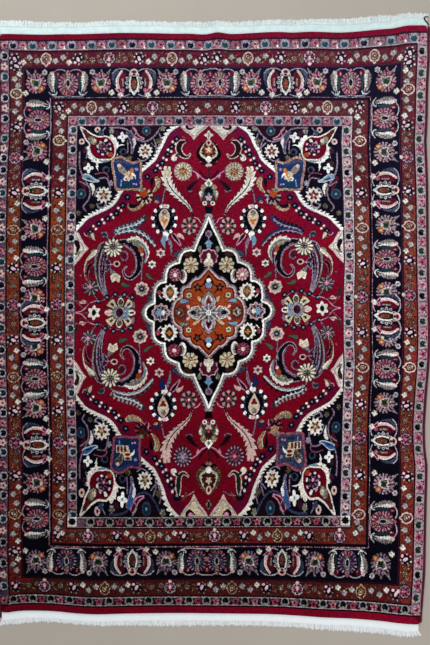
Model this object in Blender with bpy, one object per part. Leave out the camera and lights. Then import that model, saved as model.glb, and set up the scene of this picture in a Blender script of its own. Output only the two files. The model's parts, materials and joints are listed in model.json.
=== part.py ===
"""Persian rug: a hand-knotted wool carpet lying flat, with overcast sides and fringed cotton ends.

Metres, +Z up. The warps run along Y, from the near end (-Y) to the far end (+Y).
The origin is the centre of the rug's box, on the floor.
"""

import math
import random

import bpy

# Driving sizes
RUG_HALF_WIDTH = 1.000
PILE_HALF_LENGTH = 1.332
PILE_HEIGHT = 0.0105
PILE_SHOULDER = 0.0045
SELVEDGE_WIDTH = 0.013
SELVEDGE_HEIGHT = 0.0098
SEAM_GAP = 0.0003
WEB_SEAM_GAP = 0.0006
CORNER_RADIUS = 0.020
WEB_WIDTH = 0.034
WEB_THICKNESS = 0.0024
LOCK_TIP_THICKNESS = 0.0015
LOCKS_PER_END = 148
YARN_TAIL_RADIUS = 0.0034

# Sampling of the outline
SIDE_REACH = 1.400
SIDE_STATIONS = 46
END_STATIONS = 128
STATION_GAP = 0.001
CORNER_STEPS = 4
SELVEDGE_SIDES = 7
YARN_TAIL_SIDES = 6

# How far each edge of the rug wanders outwards from its straight line.
# Sides: (place along Y, outwards along X) of the outer face of the selvedge.
RIGHT_SIDE = (
    (1.362, 0.000), (1.298, -0.002), (1.206, -0.003), (1.138, -0.007), (1.064, -0.0105),
    (0.927, -0.0125), (0.853, -0.0175), (0.784, -0.0155), (0.656, -0.0105), (0.514, -0.0085),
    (0.307, -0.0065), (0.105, -0.0025), (-0.032, 0.000), (-0.170, -0.003), (-0.307, -0.014),
    (-0.381, -0.0195), (-0.486, -0.025), (-0.592, -0.021), (-0.661, -0.0125), (-0.720, -0.014),
    (-0.858, -0.0175), (-1.037, -0.021), (-1.142, -0.023), (-1.211, -0.028), (-1.271, -0.0325),
    (-1.349, -0.0395),
)
LEFT_SIDE = (
    (1.350, -0.010), (1.206, -0.010), (1.060, -0.0125), (0.908, -0.0133), (0.702, -0.0032),
    (0.564, 0.001), (0.380, 0.0035), (0.179, 0.006), (-0.032, 0.005), (-0.225, 0.0014),
    (-0.353, -0.0032), (-0.583, -0.0037), (-0.702, -0.0069), (-0.858, -0.0037), (-1.087, -0.0032),
    (-1.180, -0.006), (-1.248, -0.0092), (-1.298, -0.0128), (-1.345, -0.0155),
)
# Ends: (place along X, outwards along Y) of the last row of pile.
FAR_END = (
    (-1.000, -0.0015), (-0.977, -0.0025), (-0.789, -0.007), (-0.693, -0.005), (-0.624, -0.005),
    (-0.537, -0.0025), (-0.413, 0.001), (-0.284, -0.0005), (-0.161, -0.003), (-0.115, -0.0025),
    (-0.064, -0.0055), (-0.037, -0.0065), (-0.012, -0.0025), (0.017, 0.0040), (0.044, 0.0015),
    (0.072, -0.0040), (0.115, -0.0035), (0.165, -0.0005), (0.294, 0.0055), (0.365, 0.0025),
    (0.450, 0.0065), (0.573, 0.0025), (0.638, 0.005), (0.766, 0.017), (0.826, 0.0215),
    (0.890, 0.0345), (0.927, 0.0355), (1.000, 0.033),
)
NEAR_END = (
    (-1.000, 0.013), (-0.977, 0.011), (-0.945, -0.001), (-0.885, -0.010), (-0.821, -0.0115),
    (-0.725, -0.008), (-0.633, 0.001), (-0.537, 0.006), (-0.413, 0.003), (-0.284, 0.001),
    (-0.161, 0.000), (0.009, 0.0015), (0.133, 0.003), (0.261, 0.005), (0.385, 0.0115),
    (0.514, 0.0205), (0.638, 0.0255), (0.766, 0.036), (0.858, 0.0475), (0.954, 0.0545),
)
# Fringe: (place along X, reach of the tips beyond the pile, lean of the locks along X).
FAR_FRINGE = (
    (-0.985, 0.065, -0.004), (-0.789, 0.062, 0.000), (-0.680, 0.056, 0.001), (-0.537, 0.058, 0.002),
    (-0.321, 0.058, -0.002), (-0.156, 0.057, 0.001), (-0.110, 0.060, 0.000), (0.009, 0.057, -0.001),
    (0.284, 0.060, 0.002), (0.450, 0.060, 0.001), (0.546, 0.065, 0.000), (0.716, 0.065, -0.002),
    (0.839, 0.064, 0.003), (0.927, 0.058, 0.004), (0.985, 0.061, 0.006),
)
NEAR_FRINGE = (
    (-0.970, 0.051, -0.014), (-0.894, 0.058, -0.003), (-0.789, 0.052, 0.001), (-0.683, 0.050, 0.000),
    (-0.477, 0.054, -0.002), (-0.133, 0.059, 0.002), (0.055, 0.055, -0.001), (0.335, 0.055, 0.001),
    (0.505, 0.056, -0.002), (0.670, 0.060, 0.002), (0.839, 0.058, 0.001), (0.880, 0.059, 0.002),
    (0.945, 0.052, 0.012),
)
LOCK_ROOT_SHARE = 0.72
LOCK_TIP_SHARE = 0.36
LOCK_MIDDLE = 0.55
LOCK_MIDDLE_THICKNESS = 0.0022
LOCK_RAGGED = 0.0035
LOCK_SWAY = 0.0018
LOCK_SEED = 17

# Selvedge ends: (distance in from the end, share of the full section).
SELVEDGE_TAPER = ((0.000, 0.55), (0.004, 0.86))
SELVEDGE_TAPER_LENGTH = 0.012
# How far a selvedge runs past the last row of pile: (near end, far end).
LEFT_OVERRUN = (0.012, -0.001)
RIGHT_OVERRUN = (-0.010, -0.001)

# Loose end of the overcasting yarn at the far right corner:
# (in from the right side, out from the last row of pile, share of the full radius).
YARN_TAIL = (
    (0.004, 0.006, 0.70), (0.010, 0.011, 0.95), (0.017, 0.017, 1.00), (0.024, 0.023, 1.00),
    (0.029, 0.030, 0.95), (0.028, 0.038, 0.90), (0.021, 0.042, 0.80), (0.013, 0.041, 0.55),
)


def smooth_value(table, at, column=1):
    """Cubic reading of a table whose first column rises or falls steadily."""
    rows = sorted(table)
    at = min(max(at, rows[0][0]), rows[-1][0])
    last = len(rows) - 1
    k = 0
    while k < last - 1 and rows[k + 1][0] < at:
        k += 1

    def slope(j):
        low, high = rows[max(j - 1, 0)], rows[min(j + 1, last)]
        return (high[column] - low[column]) / (high[0] - low[0])

    span = rows[k + 1][0] - rows[k][0]
    t = (at - rows[k][0]) / span
    return (
        (2 * t ** 3 - 3 * t ** 2 + 1) * rows[k][column]
        + (t ** 3 - 2 * t ** 2 + t) * span * slope(k)
        + (3 * t ** 2 - 2 * t ** 3) * rows[k + 1][column]
        + (t ** 3 - t ** 2) * span * slope(k + 1)
    )


def spaced(start, end, count):
    """Evenly spaced values, ends included."""
    return [start + (end - start) * k / (count - 1) for k in range(count)]


SIDE_PLACES = spaced(-SIDE_REACH, SIDE_REACH, SIDE_STATIONS)
END_PLACES = spaced(-RUG_HALF_WIDTH, RUG_HALF_WIDTH, END_STATIONS)


def between(places, values, at):
    """Straight reading between neighbouring stations, so that pieces which meet share one edge."""
    k = 0
    while k < len(places) - 2 and places[k + 1] < at:
        k += 1
    t = (at - places[k]) / (places[k + 1] - places[k])
    return values[k] + (values[k + 1] - values[k]) * t


SIDE_TABLES = {-1: LEFT_SIDE, 1: RIGHT_SIDE}
END_TABLES = {-1: NEAR_END, 1: FAR_END}
SIDE_VALUES = {s: [smooth_value(SIDE_TABLES[s], y) for y in SIDE_PLACES] for s in (-1, 1)}
END_VALUES = {e: [smooth_value(END_TABLES[e], x) for x in END_PLACES] for e in (-1, 1)}


def side_x(side, y, inset=0.0):
    """X of a line that runs along a side, a distance in from the outer face of the selvedge."""
    return side * (RUG_HALF_WIDTH + between(SIDE_PLACES, SIDE_VALUES[side], y) - inset)


def end_y(end, x, outset=0.0):
    """Y of a line that runs along an end, a distance out from the last row of pile."""
    return end * (PILE_HALF_LENGTH + between(END_PLACES, END_VALUES[end], x) + outset)


def stations_between(places, low, high):
    """Both limits and every station that lies clearly between them."""
    return [low] + [at for at in places if low + STATION_GAP < at < high - STATION_GAP] + [high]


def pile_corner(side, end, inset):
    """Where the pile's side and end would meet if the corner were sharp."""
    x, y = side * RUG_HALF_WIDTH, end * PILE_HALF_LENGTH
    for _ in range(12):
        x = side_x(side, y, inset)
        y = end_y(end, x)
    return x, y


def pile_outline():
    """The pile's outline, counter-clockwise from the near left corner, with rounded corners."""
    inset = SELVEDGE_WIDTH + SEAM_GAP
    corner = {(s, e): pile_corner(s, e, inset) for s in (-1, 1) for e in (-1, 1)}
    ring = []

    def add_end(end, from_side):
        low, high = corner[-1, end][0] + CORNER_RADIUS, corner[1, end][0] - CORNER_RADIUS
        stations = stations_between(END_PLACES, low, high)
        if from_side > 0:
            stations.reverse()
        ring.extend((x, end_y(end, x)) for x in stations)

    def add_side(side, from_end):
        low, high = corner[side, -1][1] + CORNER_RADIUS, corner[side, 1][1] - CORNER_RADIUS
        stations = stations_between(SIDE_PLACES, low, high)
        if from_end > 0:
            stations.reverse()
        ring.extend((side_x(side, y, inset), y) for y in stations)

    def add_corner(side, end, next_point):
        start, middle = ring[-1], corner[side, end]
        for k in range(1, CORNER_STEPS):
            t = k / CORNER_STEPS
            ring.append(tuple(
                (1 - t) ** 2 * start[i] + 2 * t * (1 - t) * middle[i] + t ** 2 * next_point[i]
                for i in (0, 1)
            ))

    def side_point(side, end):
        y = corner[side, end][1] - end * CORNER_RADIUS
        return side_x(side, y, inset), y

    def end_point(side, end):
        x = corner[side, end][0] - side * CORNER_RADIUS
        return x, end_y(end, x)

    add_end(-1, -1)
    add_corner(1, -1, side_point(1, -1))
    add_side(1, -1)
    add_corner(1, 1, end_point(1, 1))
    add_end(1, 1)
    add_corner(-1, 1, side_point(-1, 1))
    add_side(-1, 1)
    add_corner(-1, -1, end_point(-1, -1))
    return ring


def inset_ring(ring, distance):
    """The ring moved inwards along the mean normal at each of its points."""
    moved = []
    count = len(ring)
    for k in range(count):
        before, after = ring[k - 1], ring[(k + 1) % count]
        dx, dy = after[0] - before[0], after[1] - before[1]
        length = math.hypot(dx, dy)
        moved.append((ring[k][0] - distance * dy / length, ring[k][1] + distance * dx / length))
    return moved


def fabric(name, colour, roughness):
    """Plain cloth colour for one sub-part."""
    material = bpy.data.materials.new(name)
    material.use_nodes = True
    shader = material.node_tree.nodes["Principled BSDF"]
    shader.inputs["Base Color"].default_value = (*colour, 1.0)
    shader.inputs["Roughness"].default_value = roughness
    shader.inputs["Metallic"].default_value = 0.0
    return material


def add_object(name, vertices, faces, material, crease_degrees=40.0):
    """One closed mesh object, shaded smooth up to its creases."""
    mesh = bpy.data.meshes.new(name)
    mesh.from_pydata(vertices, [], faces)
    mesh.materials.append(material)
    mesh.shade_smooth()
    mesh.set_sharp_from_angle(angle=math.radians(crease_degrees))
    mesh.update()
    rug_piece = bpy.data.objects.new(name, mesh)
    bpy.context.scene.collection.objects.link(rug_piece)
    return rug_piece


def ring_faces(lower, upper, count):
    """Quads that join two rings of points, walked counter-clockwise."""
    return [
        (lower + k, lower + (k + 1) % count, upper + (k + 1) % count, upper + k)
        for k in range(count)
    ]


def build_pile_body(material):
    """The knotted body: flat below, with the clipped pile rounding over at its edge."""
    outline = pile_outline()
    shoulder = inset_ring(outline, PILE_SHOULDER * 0.3)
    crown = inset_ring(outline, PILE_SHOULDER)
    levels = (
        (outline, 0.0),
        (outline, PILE_HEIGHT * 0.62),
        (shoulder, PILE_HEIGHT * 0.88),
        (crown, PILE_HEIGHT),
    )
    count = len(outline)
    vertices = [(x, y, z) for ring, z in levels for x, y in ring]
    faces = [tuple(reversed(range(count)))]
    for level in range(len(levels) - 1):
        faces += ring_faces(level * count, (level + 1) * count, count)
    top = (len(levels) - 1) * count
    faces.append(tuple(range(top, top + count)))
    return add_object("pile_body", vertices, faces, material)


def selvedge_section(width, height):
    """Half round of overcasting yarn with a flat sole: (across, up) points from the inner foot."""
    points = []
    for k in range(SELVEDGE_SIDES):
        turn = math.pi * k / (SELVEDGE_SIDES - 1)
        points.append((-math.cos(turn) * width / 2, height * (0.22 + 0.78 * math.sin(turn))))
    return [(-width / 2, 0.0)] + points + [(width / 2, 0.0)]


def build_selvedge(name, side, overrun, material):
    """The side's warps wrapped in yarn, a round cord along the whole side."""
    middle = SELVEDGE_WIDTH / 2
    near = end_y(-1, side_x(side, -PILE_HALF_LENGTH, middle), overrun[0])
    far = end_y(1, side_x(side, PILE_HALF_LENGTH, middle), overrun[1])
    full = stations_between(SIDE_PLACES, near + SELVEDGE_TAPER_LENGTH, far - SELVEDGE_TAPER_LENGTH)
    stations = [(near + inwards, share) for inwards, share in SELVEDGE_TAPER]
    stations += [(y, 1.0) for y in full]
    stations += [(far - inwards, share) for inwards, share in reversed(SELVEDGE_TAPER)]
    vertices = []
    for y, share in stations:
        section = selvedge_section(SELVEDGE_WIDTH * share, SELVEDGE_HEIGHT * share)
        centre = side_x(side, y, middle)
        vertices += [(centre + across, y, up) for across, up in section]
    count = SELVEDGE_SIDES + 2
    faces = [tuple(reversed(range(count)))]
    for k in range(len(stations) - 1):
        for j in range(count):
            a, b = k * count + j, k * count + (j + 1) % count
            faces.append((a, b, b + count, a + count))
    last = (len(stations) - 1) * count
    faces.append(tuple(range(last, last + count)))
    return add_object(name, vertices, faces, material)


def build_fringed_end(name, end, fringe_table, material):
    """The flat-woven cotton end and its short ragged fringe, in one piece."""
    dice = random.Random(LOCK_SEED + end)
    first, last = fringe_table[0][0], fringe_table[-1][0]
    pitch = (last - first) / (LOCKS_PER_END - 1 + LOCK_ROOT_SHARE)
    root_half = pitch * LOCK_ROOT_SHARE / 2
    tip_half = pitch * LOCK_TIP_SHARE / 2
    inner_out = WEB_SEAM_GAP
    outer_out = WEB_SEAM_GAP + WEB_WIDTH

    vertices = []
    faces = []
    for k in range(LOCKS_PER_END):
        centre = first + root_half + k * pitch
        for x in (centre - root_half, centre + root_half):
            y_in, y_out = end_y(end, x, inner_out), end_y(end, x, outer_out)
            vertices += [
                (x, y_in, 0.0), (x, y_in, WEB_THICKNESS),
                (x, y_out, WEB_THICKNESS), (x, y_out, 0.0),
            ]
    station_count = 2 * LOCKS_PER_END

    def add_face(*corners):
        faces.append(corners if end < 0 else tuple(reversed(corners)))

    for s in range(station_count - 1):
        a, b = 4 * s, 4 * (s + 1)
        add_face(a, a + 1, b + 1, b)
        add_face(a + 1, a + 2, b + 2, b + 1)
        add_face(a + 3, a, b, b + 3)
        if s % 2 == 1:
            add_face(a + 2, a + 3, b + 3, b + 2)
    add_face(3, 2, 1, 0)
    tail = 4 * (station_count - 1)
    add_face(tail, tail + 1, tail + 2, tail + 3)

    for k in range(LOCKS_PER_END):
        centre = first + root_half + k * pitch
        reach = smooth_value(fringe_table, centre, 1) + dice.uniform(-LOCK_RAGGED, LOCK_RAGGED * 0.4)
        lean = smooth_value(fringe_table, centre, 2) + dice.uniform(-LOCK_SWAY, LOCK_SWAY)
        bow = dice.uniform(-LOCK_SWAY, LOCK_SWAY) * 0.6
        ring = [8 * k + 3, 8 * k + 2, 8 * k + 6, 8 * k + 7]
        for share, half, thickness in (
            (LOCK_MIDDLE, (root_half + tip_half) / 2, LOCK_MIDDLE_THICKNESS),
            (1.0, tip_half, LOCK_TIP_THICKNESS),
        ):
            out = outer_out + (reach - outer_out) * share
            x = centre + lean * share + bow * (1 - share)
            y = end_y(end, centre, out)
            base = len(vertices)
            vertices += [
                (x - half, y, 0.0), (x - half, y, thickness),
                (x + half, y, thickness), (x + half, y, 0.0),
            ]
            new_ring = [base, base + 1, base + 2, base + 3]
            for j in range(4):
                i = (j + 1) % 4
                add_face(ring[j], new_ring[j], new_ring[i], ring[i])
            ring = new_ring
        add_face(*reversed(ring))
    return add_object(name, vertices, faces, material, crease_degrees=30.0)


def build_yarn_tail(material):
    """The overcasting yarn's end, curled over the flat-woven end at the far right corner."""
    lift = WEB_THICKNESS + SEAM_GAP
    corner_x = side_x(1, PILE_HALF_LENGTH)
    centres = []
    for inwards, outwards, share in YARN_TAIL:
        x = corner_x - inwards
        radius = YARN_TAIL_RADIUS * share
        centres.append((x, end_y(1, x, outwards), lift + radius, radius))
    vertices = []
    for k, (x, y, z, radius) in enumerate(centres):
        before, after = centres[max(k - 1, 0)], centres[min(k + 1, len(centres) - 1)]
        dx, dy = after[0] - before[0], after[1] - before[1]
        length = math.hypot(dx, dy)
        for j in range(YARN_TAIL_SIDES):
            turn = 2 * math.pi * (j + 0.5) / YARN_TAIL_SIDES
            across = radius * math.cos(turn)
            vertices.append((x - across * dy / length, y + across * dx / length, z + radius * math.sin(turn)))
    faces = [tuple(reversed(range(YARN_TAIL_SIDES)))]
    for k in range(len(centres) - 1):
        faces += ring_faces(k * YARN_TAIL_SIDES, (k + 1) * YARN_TAIL_SIDES, YARN_TAIL_SIDES)
    last = (len(centres) - 1) * YARN_TAIL_SIDES
    faces.append(tuple(range(last, last + YARN_TAIL_SIDES)))
    return add_object("yarn_tail", vertices, faces, material)


def centre_on_box(pieces):
    """Moves every point so that the origin is the middle of the whole rug's box, on the floor."""
    points = [vertex.co for piece in pieces for vertex in piece.data.vertices]
    middle = [(min(p[i] for p in points) + max(p[i] for p in points)) / 2 for i in (0, 1)]
    for piece in pieces:
        for vertex in piece.data.vertices:
            vertex.co.x -= middle[0]
            vertex.co.y -= middle[1]


def main():
    for old in list(bpy.data.objects):
        bpy.data.objects.remove(old, do_unlink=True)
    wool_pile = fabric("wool_pile", (0.20, 0.012, 0.035), 0.90)
    wool_overcast = fabric("wool_overcast", (0.12, 0.006, 0.030), 0.92)
    wool_yarn = fabric("wool_yarn", (0.08, 0.004, 0.015), 0.92)
    cotton_web = fabric("cotton_web", (0.80, 0.82, 0.78), 0.88)
    pieces = [
        build_pile_body(wool_pile),
        build_selvedge("selvedge_left", -1, LEFT_OVERRUN, wool_overcast),
        build_selvedge("selvedge_right", 1, RIGHT_OVERRUN, wool_overcast),
        build_fringed_end("fringed_end_far", 1, FAR_FRINGE, cotton_web),
        build_fringed_end("fringed_end_near", -1, NEAR_FRINGE, cotton_web),
        build_yarn_tail(wool_yarn),
    ]
    centre_on_box(pieces)


main()
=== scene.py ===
"""Looks of the persian rug: knotted wool pile after a chart, overcast sides, fringed cotton ends."""

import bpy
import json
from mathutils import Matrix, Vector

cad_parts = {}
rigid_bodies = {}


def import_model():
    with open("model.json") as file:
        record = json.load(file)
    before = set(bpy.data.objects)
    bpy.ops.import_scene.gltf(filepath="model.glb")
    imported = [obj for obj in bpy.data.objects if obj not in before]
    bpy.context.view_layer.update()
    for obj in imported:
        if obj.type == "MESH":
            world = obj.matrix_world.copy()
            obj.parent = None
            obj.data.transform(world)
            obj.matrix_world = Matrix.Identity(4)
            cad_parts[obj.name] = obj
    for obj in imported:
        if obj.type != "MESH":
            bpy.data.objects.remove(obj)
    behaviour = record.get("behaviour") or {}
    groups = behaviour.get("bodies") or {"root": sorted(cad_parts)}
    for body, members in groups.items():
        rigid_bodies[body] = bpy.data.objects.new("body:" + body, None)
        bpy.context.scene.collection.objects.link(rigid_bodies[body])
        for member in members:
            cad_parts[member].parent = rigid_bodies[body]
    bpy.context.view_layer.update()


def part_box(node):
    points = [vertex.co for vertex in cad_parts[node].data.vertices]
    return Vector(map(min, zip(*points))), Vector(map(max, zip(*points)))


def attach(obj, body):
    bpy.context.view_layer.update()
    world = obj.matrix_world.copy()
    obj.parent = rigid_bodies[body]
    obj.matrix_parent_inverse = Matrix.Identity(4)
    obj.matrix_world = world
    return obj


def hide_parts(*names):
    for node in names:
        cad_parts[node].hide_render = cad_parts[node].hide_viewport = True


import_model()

import copy
import json
import math

import bpy
import numpy as np

# ---- Sizes ----------------------------------------------------------------------------------
# Metres. The pattern's places are in chart units of two knots; u runs right, v to the near end.

CHART_UNIT = 0.004587
KNOTS_PER_UNIT = 2
CHART_ORIGIN = (212.33, 324.416)
LEFT, TOP = -1.5, 33.3
COLUMNS, ROWS = 858, 1162
RIGHT, BOTTOM = LEFT + COLUMNS / KNOTS_PER_UNIT, TOP + ROWS / KNOTS_PER_UNIT
BORDERS = (8.4, 51.6, 416.4, 595.8)
FIELD = (76.4, 126.2, 343.2, 516.1)
MIDDLE_U, MIDDLE_V = 208.7, 312.7
CORNER_REACH = 0.020 / CHART_UNIT
FAR_OFF = 1e9

PILE_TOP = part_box("pile_body")[1][2]
PILE_RIM = 0.62 * PILE_TOP
FOUNDATION_TOP = 0.0018
FOOT_LIFT = 0.0003
LEVEL_MATCH = 2e-5


def node_points(name):
    """The corner points of a CAD node's mesh, each of them once."""
    mesh = bpy.data.objects[name].data
    flat = np.empty(len(mesh.vertices) * 3, np.float32)
    mesh.vertices.foreach_get("co", flat)
    return np.unique(np.round(flat.reshape(-1, 3).astype(float), 6), axis=0)


def pile_ring():
    """Where the pile's outline meets the floor."""
    points = node_points("pile_body")
    return np.unique(np.round(points[points[:, 2] < 1e-4][:, :2], 6), axis=0)


PILE_RING = pile_ring()


# ---- Yarns ----------------------------------------------------------------------------------

YARNS = {
    "crimson": (111, 4, 28), "garnet": (94, 2, 20), "magenta": (92, 6, 40), "wine": (74, 5, 30),
    "dark": (26, 6, 14), "navy": (7, 6, 20), "black": (4, 4, 8), "madder": (78, 22, 30),
    "rust": (82, 32, 28), "brick": (80, 24, 24), "umber": (72, 46, 38), "brown": (50, 28, 22),
    "red": (122, 14, 30), "terra": (150, 58, 24), "orange": (190, 104, 44), "ochre": (136, 80, 34),
    "camel": (158, 120, 92), "cream": (200, 184, 154), "ivory": (222, 214, 204),
    "white": (240, 238, 232), "blush": (206, 172, 166), "pink": (202, 136, 164),
    "petal": (172, 98, 116), "rose": (142, 58, 78), "orchid": (156, 126, 138),
    "heather": (130, 86, 102), "dusk": (108, 80, 92), "mauve": (128, 106, 126), "plum": (54, 16, 36),
    "lilac": (134, 128, 148), "fog": (164, 158, 162), "ice": (188, 198, 204), "grey": (148, 142, 136),
    "stone": (114, 106, 104), "dove": (76, 62, 74), "sage": (112, 110, 92), "olive": (80, 70, 50),
    "green": (22, 38, 30), "moss": (66, 80, 64), "teal": (16, 46, 54), "copper": (130, 54, 22),
    "russet": (112, 42, 34), "tile": (110, 34, 30), "peach": (206, 158, 124), "cerise": (128, 8, 40),
    "shell": (228, 184, 200), "slate": (50, 58, 84), "blue": (18, 40, 84), "azure": (50, 88, 142),
    "sky": (108, 138, 164), "aster": (78, 70, 100),
}
YARN_NAMES = list(YARNS)
YARN_CODE = {name: k for k, name in enumerate(YARN_NAMES)}
chart = np.zeros((ROWS, COLUMNS), np.uint8)

# ---- Chart to rug ---------------------------------------------------------------------------
# The stripes aren't quite straight. Tables: (place along, how far the edge strays right or down).

FIELD_LEFT = ((126, 1.6), (140, 1.1), (200, 0.1), (230, -0.4), (250, -1.4), (370, -1.4), (410, -0.1),
              (450, 1.1), (516, 1.1))
FIELD_RIGHT = ((126, -1.6), (141, -2.4), (200, -0.2), (230, 0.3), (260, 1.2), (300, -0.2), (340, -0.2),
               (365, 0.8), (400, -0.8), (440, -1.7), (480, -2.7), (516, -3.7))
FIELD_TOP = ((78, 0.2), (200, -0.4), (300, 0.3), (342, 0.4))
FIELD_BOTTOM = ((78, 0.4), (150, 0.6), (250, -0.4), (340, -0.9))
SPREAD_DOWN = ((300, 0.0), (335, 2.6), (385, 3.2), (455, 1.8), (505, 0.0))
RISE_RIGHT = ((200, 0.0), (225, 0.6), (250, 2.0), (282, 4.3), (335, 5.0), (375, 6.5), (430, 4.5),
              (455, 4.0), (484, 1.5), (516, 0.0))
RISE_ACROSS = ((215, 0.0), (330, 1.0), (343, 1.0), (427, 0.0))
# Chart places that tell the four edges of the pile apart, short of its rounded corners.
EDGE_SPAN_U, EDGE_SPAN_V = (6, 415), (45, 605)
LEFT_BAND, RIGHT_BAND, TOP_BAND, BOTTOM_BAND = 60, 400, 60, 590
WARP_ROUNDS = 6


def read(table, at):
    """Straight reading of a table of (place, value) rows."""
    places, values = zip(*table)
    return np.interp(at, places, values)


def ring_edges():
    """The pile's four edges, in chart units, each as (place along, place across) rows."""
    x = PILE_RING[:, 0] / CHART_UNIT + CHART_ORIGIN[0]
    y = CHART_ORIGIN[1] - PILE_RING[:, 1] / CHART_UNIT
    inside_x = (x > EDGE_SPAN_U[0]) & (x < EDGE_SPAN_U[1])
    inside_y = (y > EDGE_SPAN_V[0]) & (y < EDGE_SPAN_V[1])
    chosen = {
        "left": ((x < LEFT_BAND) & inside_y, y, x), "right": ((x > RIGHT_BAND) & inside_y, y, x),
        "top": ((y < TOP_BAND) & inside_x, x, y), "bottom": ((y > BOTTOM_BAND) & inside_x, x, y),
    }
    edges = {}
    for name, (mask, along, across) in chosen.items():
        order = np.argsort(along[mask])
        edges[name] = (along[mask][order], across[mask][order])
    return edges


EDGES = ring_edges()


def blend(at, stations, values):
    """Straight reading between stations whose values are arrays of the same shape as at."""
    shape = np.broadcast(at, *values).shape
    at = np.broadcast_to(at, shape)
    out = np.zeros(shape)
    for k in range(len(stations) - 1):
        low, high = stations[k], stations[k + 1]
        within = at < high if k == 0 else at >= low
        share = (at - low) / (high - low)
        reading = values[k] + (values[k + 1] - values[k]) * share
        out[within] = np.broadcast_to(reading, shape)[within]
    return out


def shift_x(u, y):
    """How far right of its chart place a knot lies."""
    left, right = np.interp(y, *EDGES["left"]) - LEFT, np.interp(y, *EDGES["right"]) - RIGHT
    inner_left, inner_right = read(FIELD_LEFT, y), read(FIELD_RIGHT, y)
    spread = read(SPREAD_DOWN, y)
    stations = (LEFT, FIELD[0], 90.0, 108.0, MIDDLE_U, 309.0, 327.0, FIELD[2], RIGHT)
    values = (left, inner_left, 0.75 * inner_left - 0.8 * spread, 0.5 * inner_left - spread, 0 * spread,
              0.5 * inner_right + spread, 0.75 * inner_right + 0.8 * spread, inner_right, right)
    return blend(u, stations, values)


def shift_y(v, x):
    """How far below its chart place a knot lies."""
    top, bottom = np.interp(x, *EDGES["top"]) - TOP, np.interp(x, *EDGES["bottom"]) - BOTTOM
    inner_top, inner_bottom = read(FIELD_TOP, x), read(FIELD_BOTTOM, x)
    stations = (TOP, FIELD[1], MIDDLE_V, FIELD[3], BOTTOM)
    drop = blend(v, stations, (top, inner_top, 0 * inner_top, inner_bottom, bottom))
    return drop - read(RISE_RIGHT, v) * read(RISE_ACROSS, x)


def to_chart(x, y):
    """Chart place of a place on the rug."""
    x, y = np.asarray(x, float), np.asarray(y, float)
    u, v = x, y
    for _ in range(WARP_ROUNDS):
        u = x - shift_x(u, y)
        v = y - shift_y(v, x)
    return u, v


def to_rug(u, v):
    """Place on the rug, in metres, of a chart place."""
    near_side = np.clip(1 - np.minimum(u - LEFT, RIGHT - u) / CORNER_REACH, 0, 1)
    near_end = np.clip(1 - np.minimum(v - TOP, BOTTOM - v) / CORNER_REACH, 0, 1)
    inwards = CORNER_REACH / 4 * near_side ** 2 * near_end ** 2
    u = u + np.where(u < MIDDLE_U, inwards, -inwards)
    v = v + np.where(v < MIDDLE_V, inwards, -inwards)
    x, y = u, v
    for _ in range(WARP_ROUNDS):
        x = u + shift_x(u, y)
        y = v + shift_y(v, x)
    return (x - CHART_ORIGIN[0]) * CHART_UNIT, (CHART_ORIGIN[1] - y) * CHART_UNIT


# ---- Drawing on the chart -------------------------------------------------------------------


def smooth(points, closed=False, steps=6):
    """Points on a smooth curve through the given ones."""
    pts = [np.array(p, float) for p in points]
    n = len(pts)
    if n < 3:
        return np.array(pts)
    out = []
    spans = n if closed else n - 1
    for k in range(spans):
        if closed:
            a, b, c, d = pts[k - 1], pts[k], pts[(k + 1) % n], pts[(k + 2) % n]
        else:
            a, b, c, d = pts[max(k - 1, 0)], pts[k], pts[k + 1], pts[min(k + 2, n - 1)]
        for s in range(steps):
            t = s / steps
            out.append(0.5 * ((2 * b) + (c - a) * t + (2 * a - 5 * b + 4 * c - d) * t * t
                              + (3 * b - a - 3 * c + d) * t ** 3))
    if not closed:
        out.append(pts[-1])
    return np.array(out)


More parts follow.
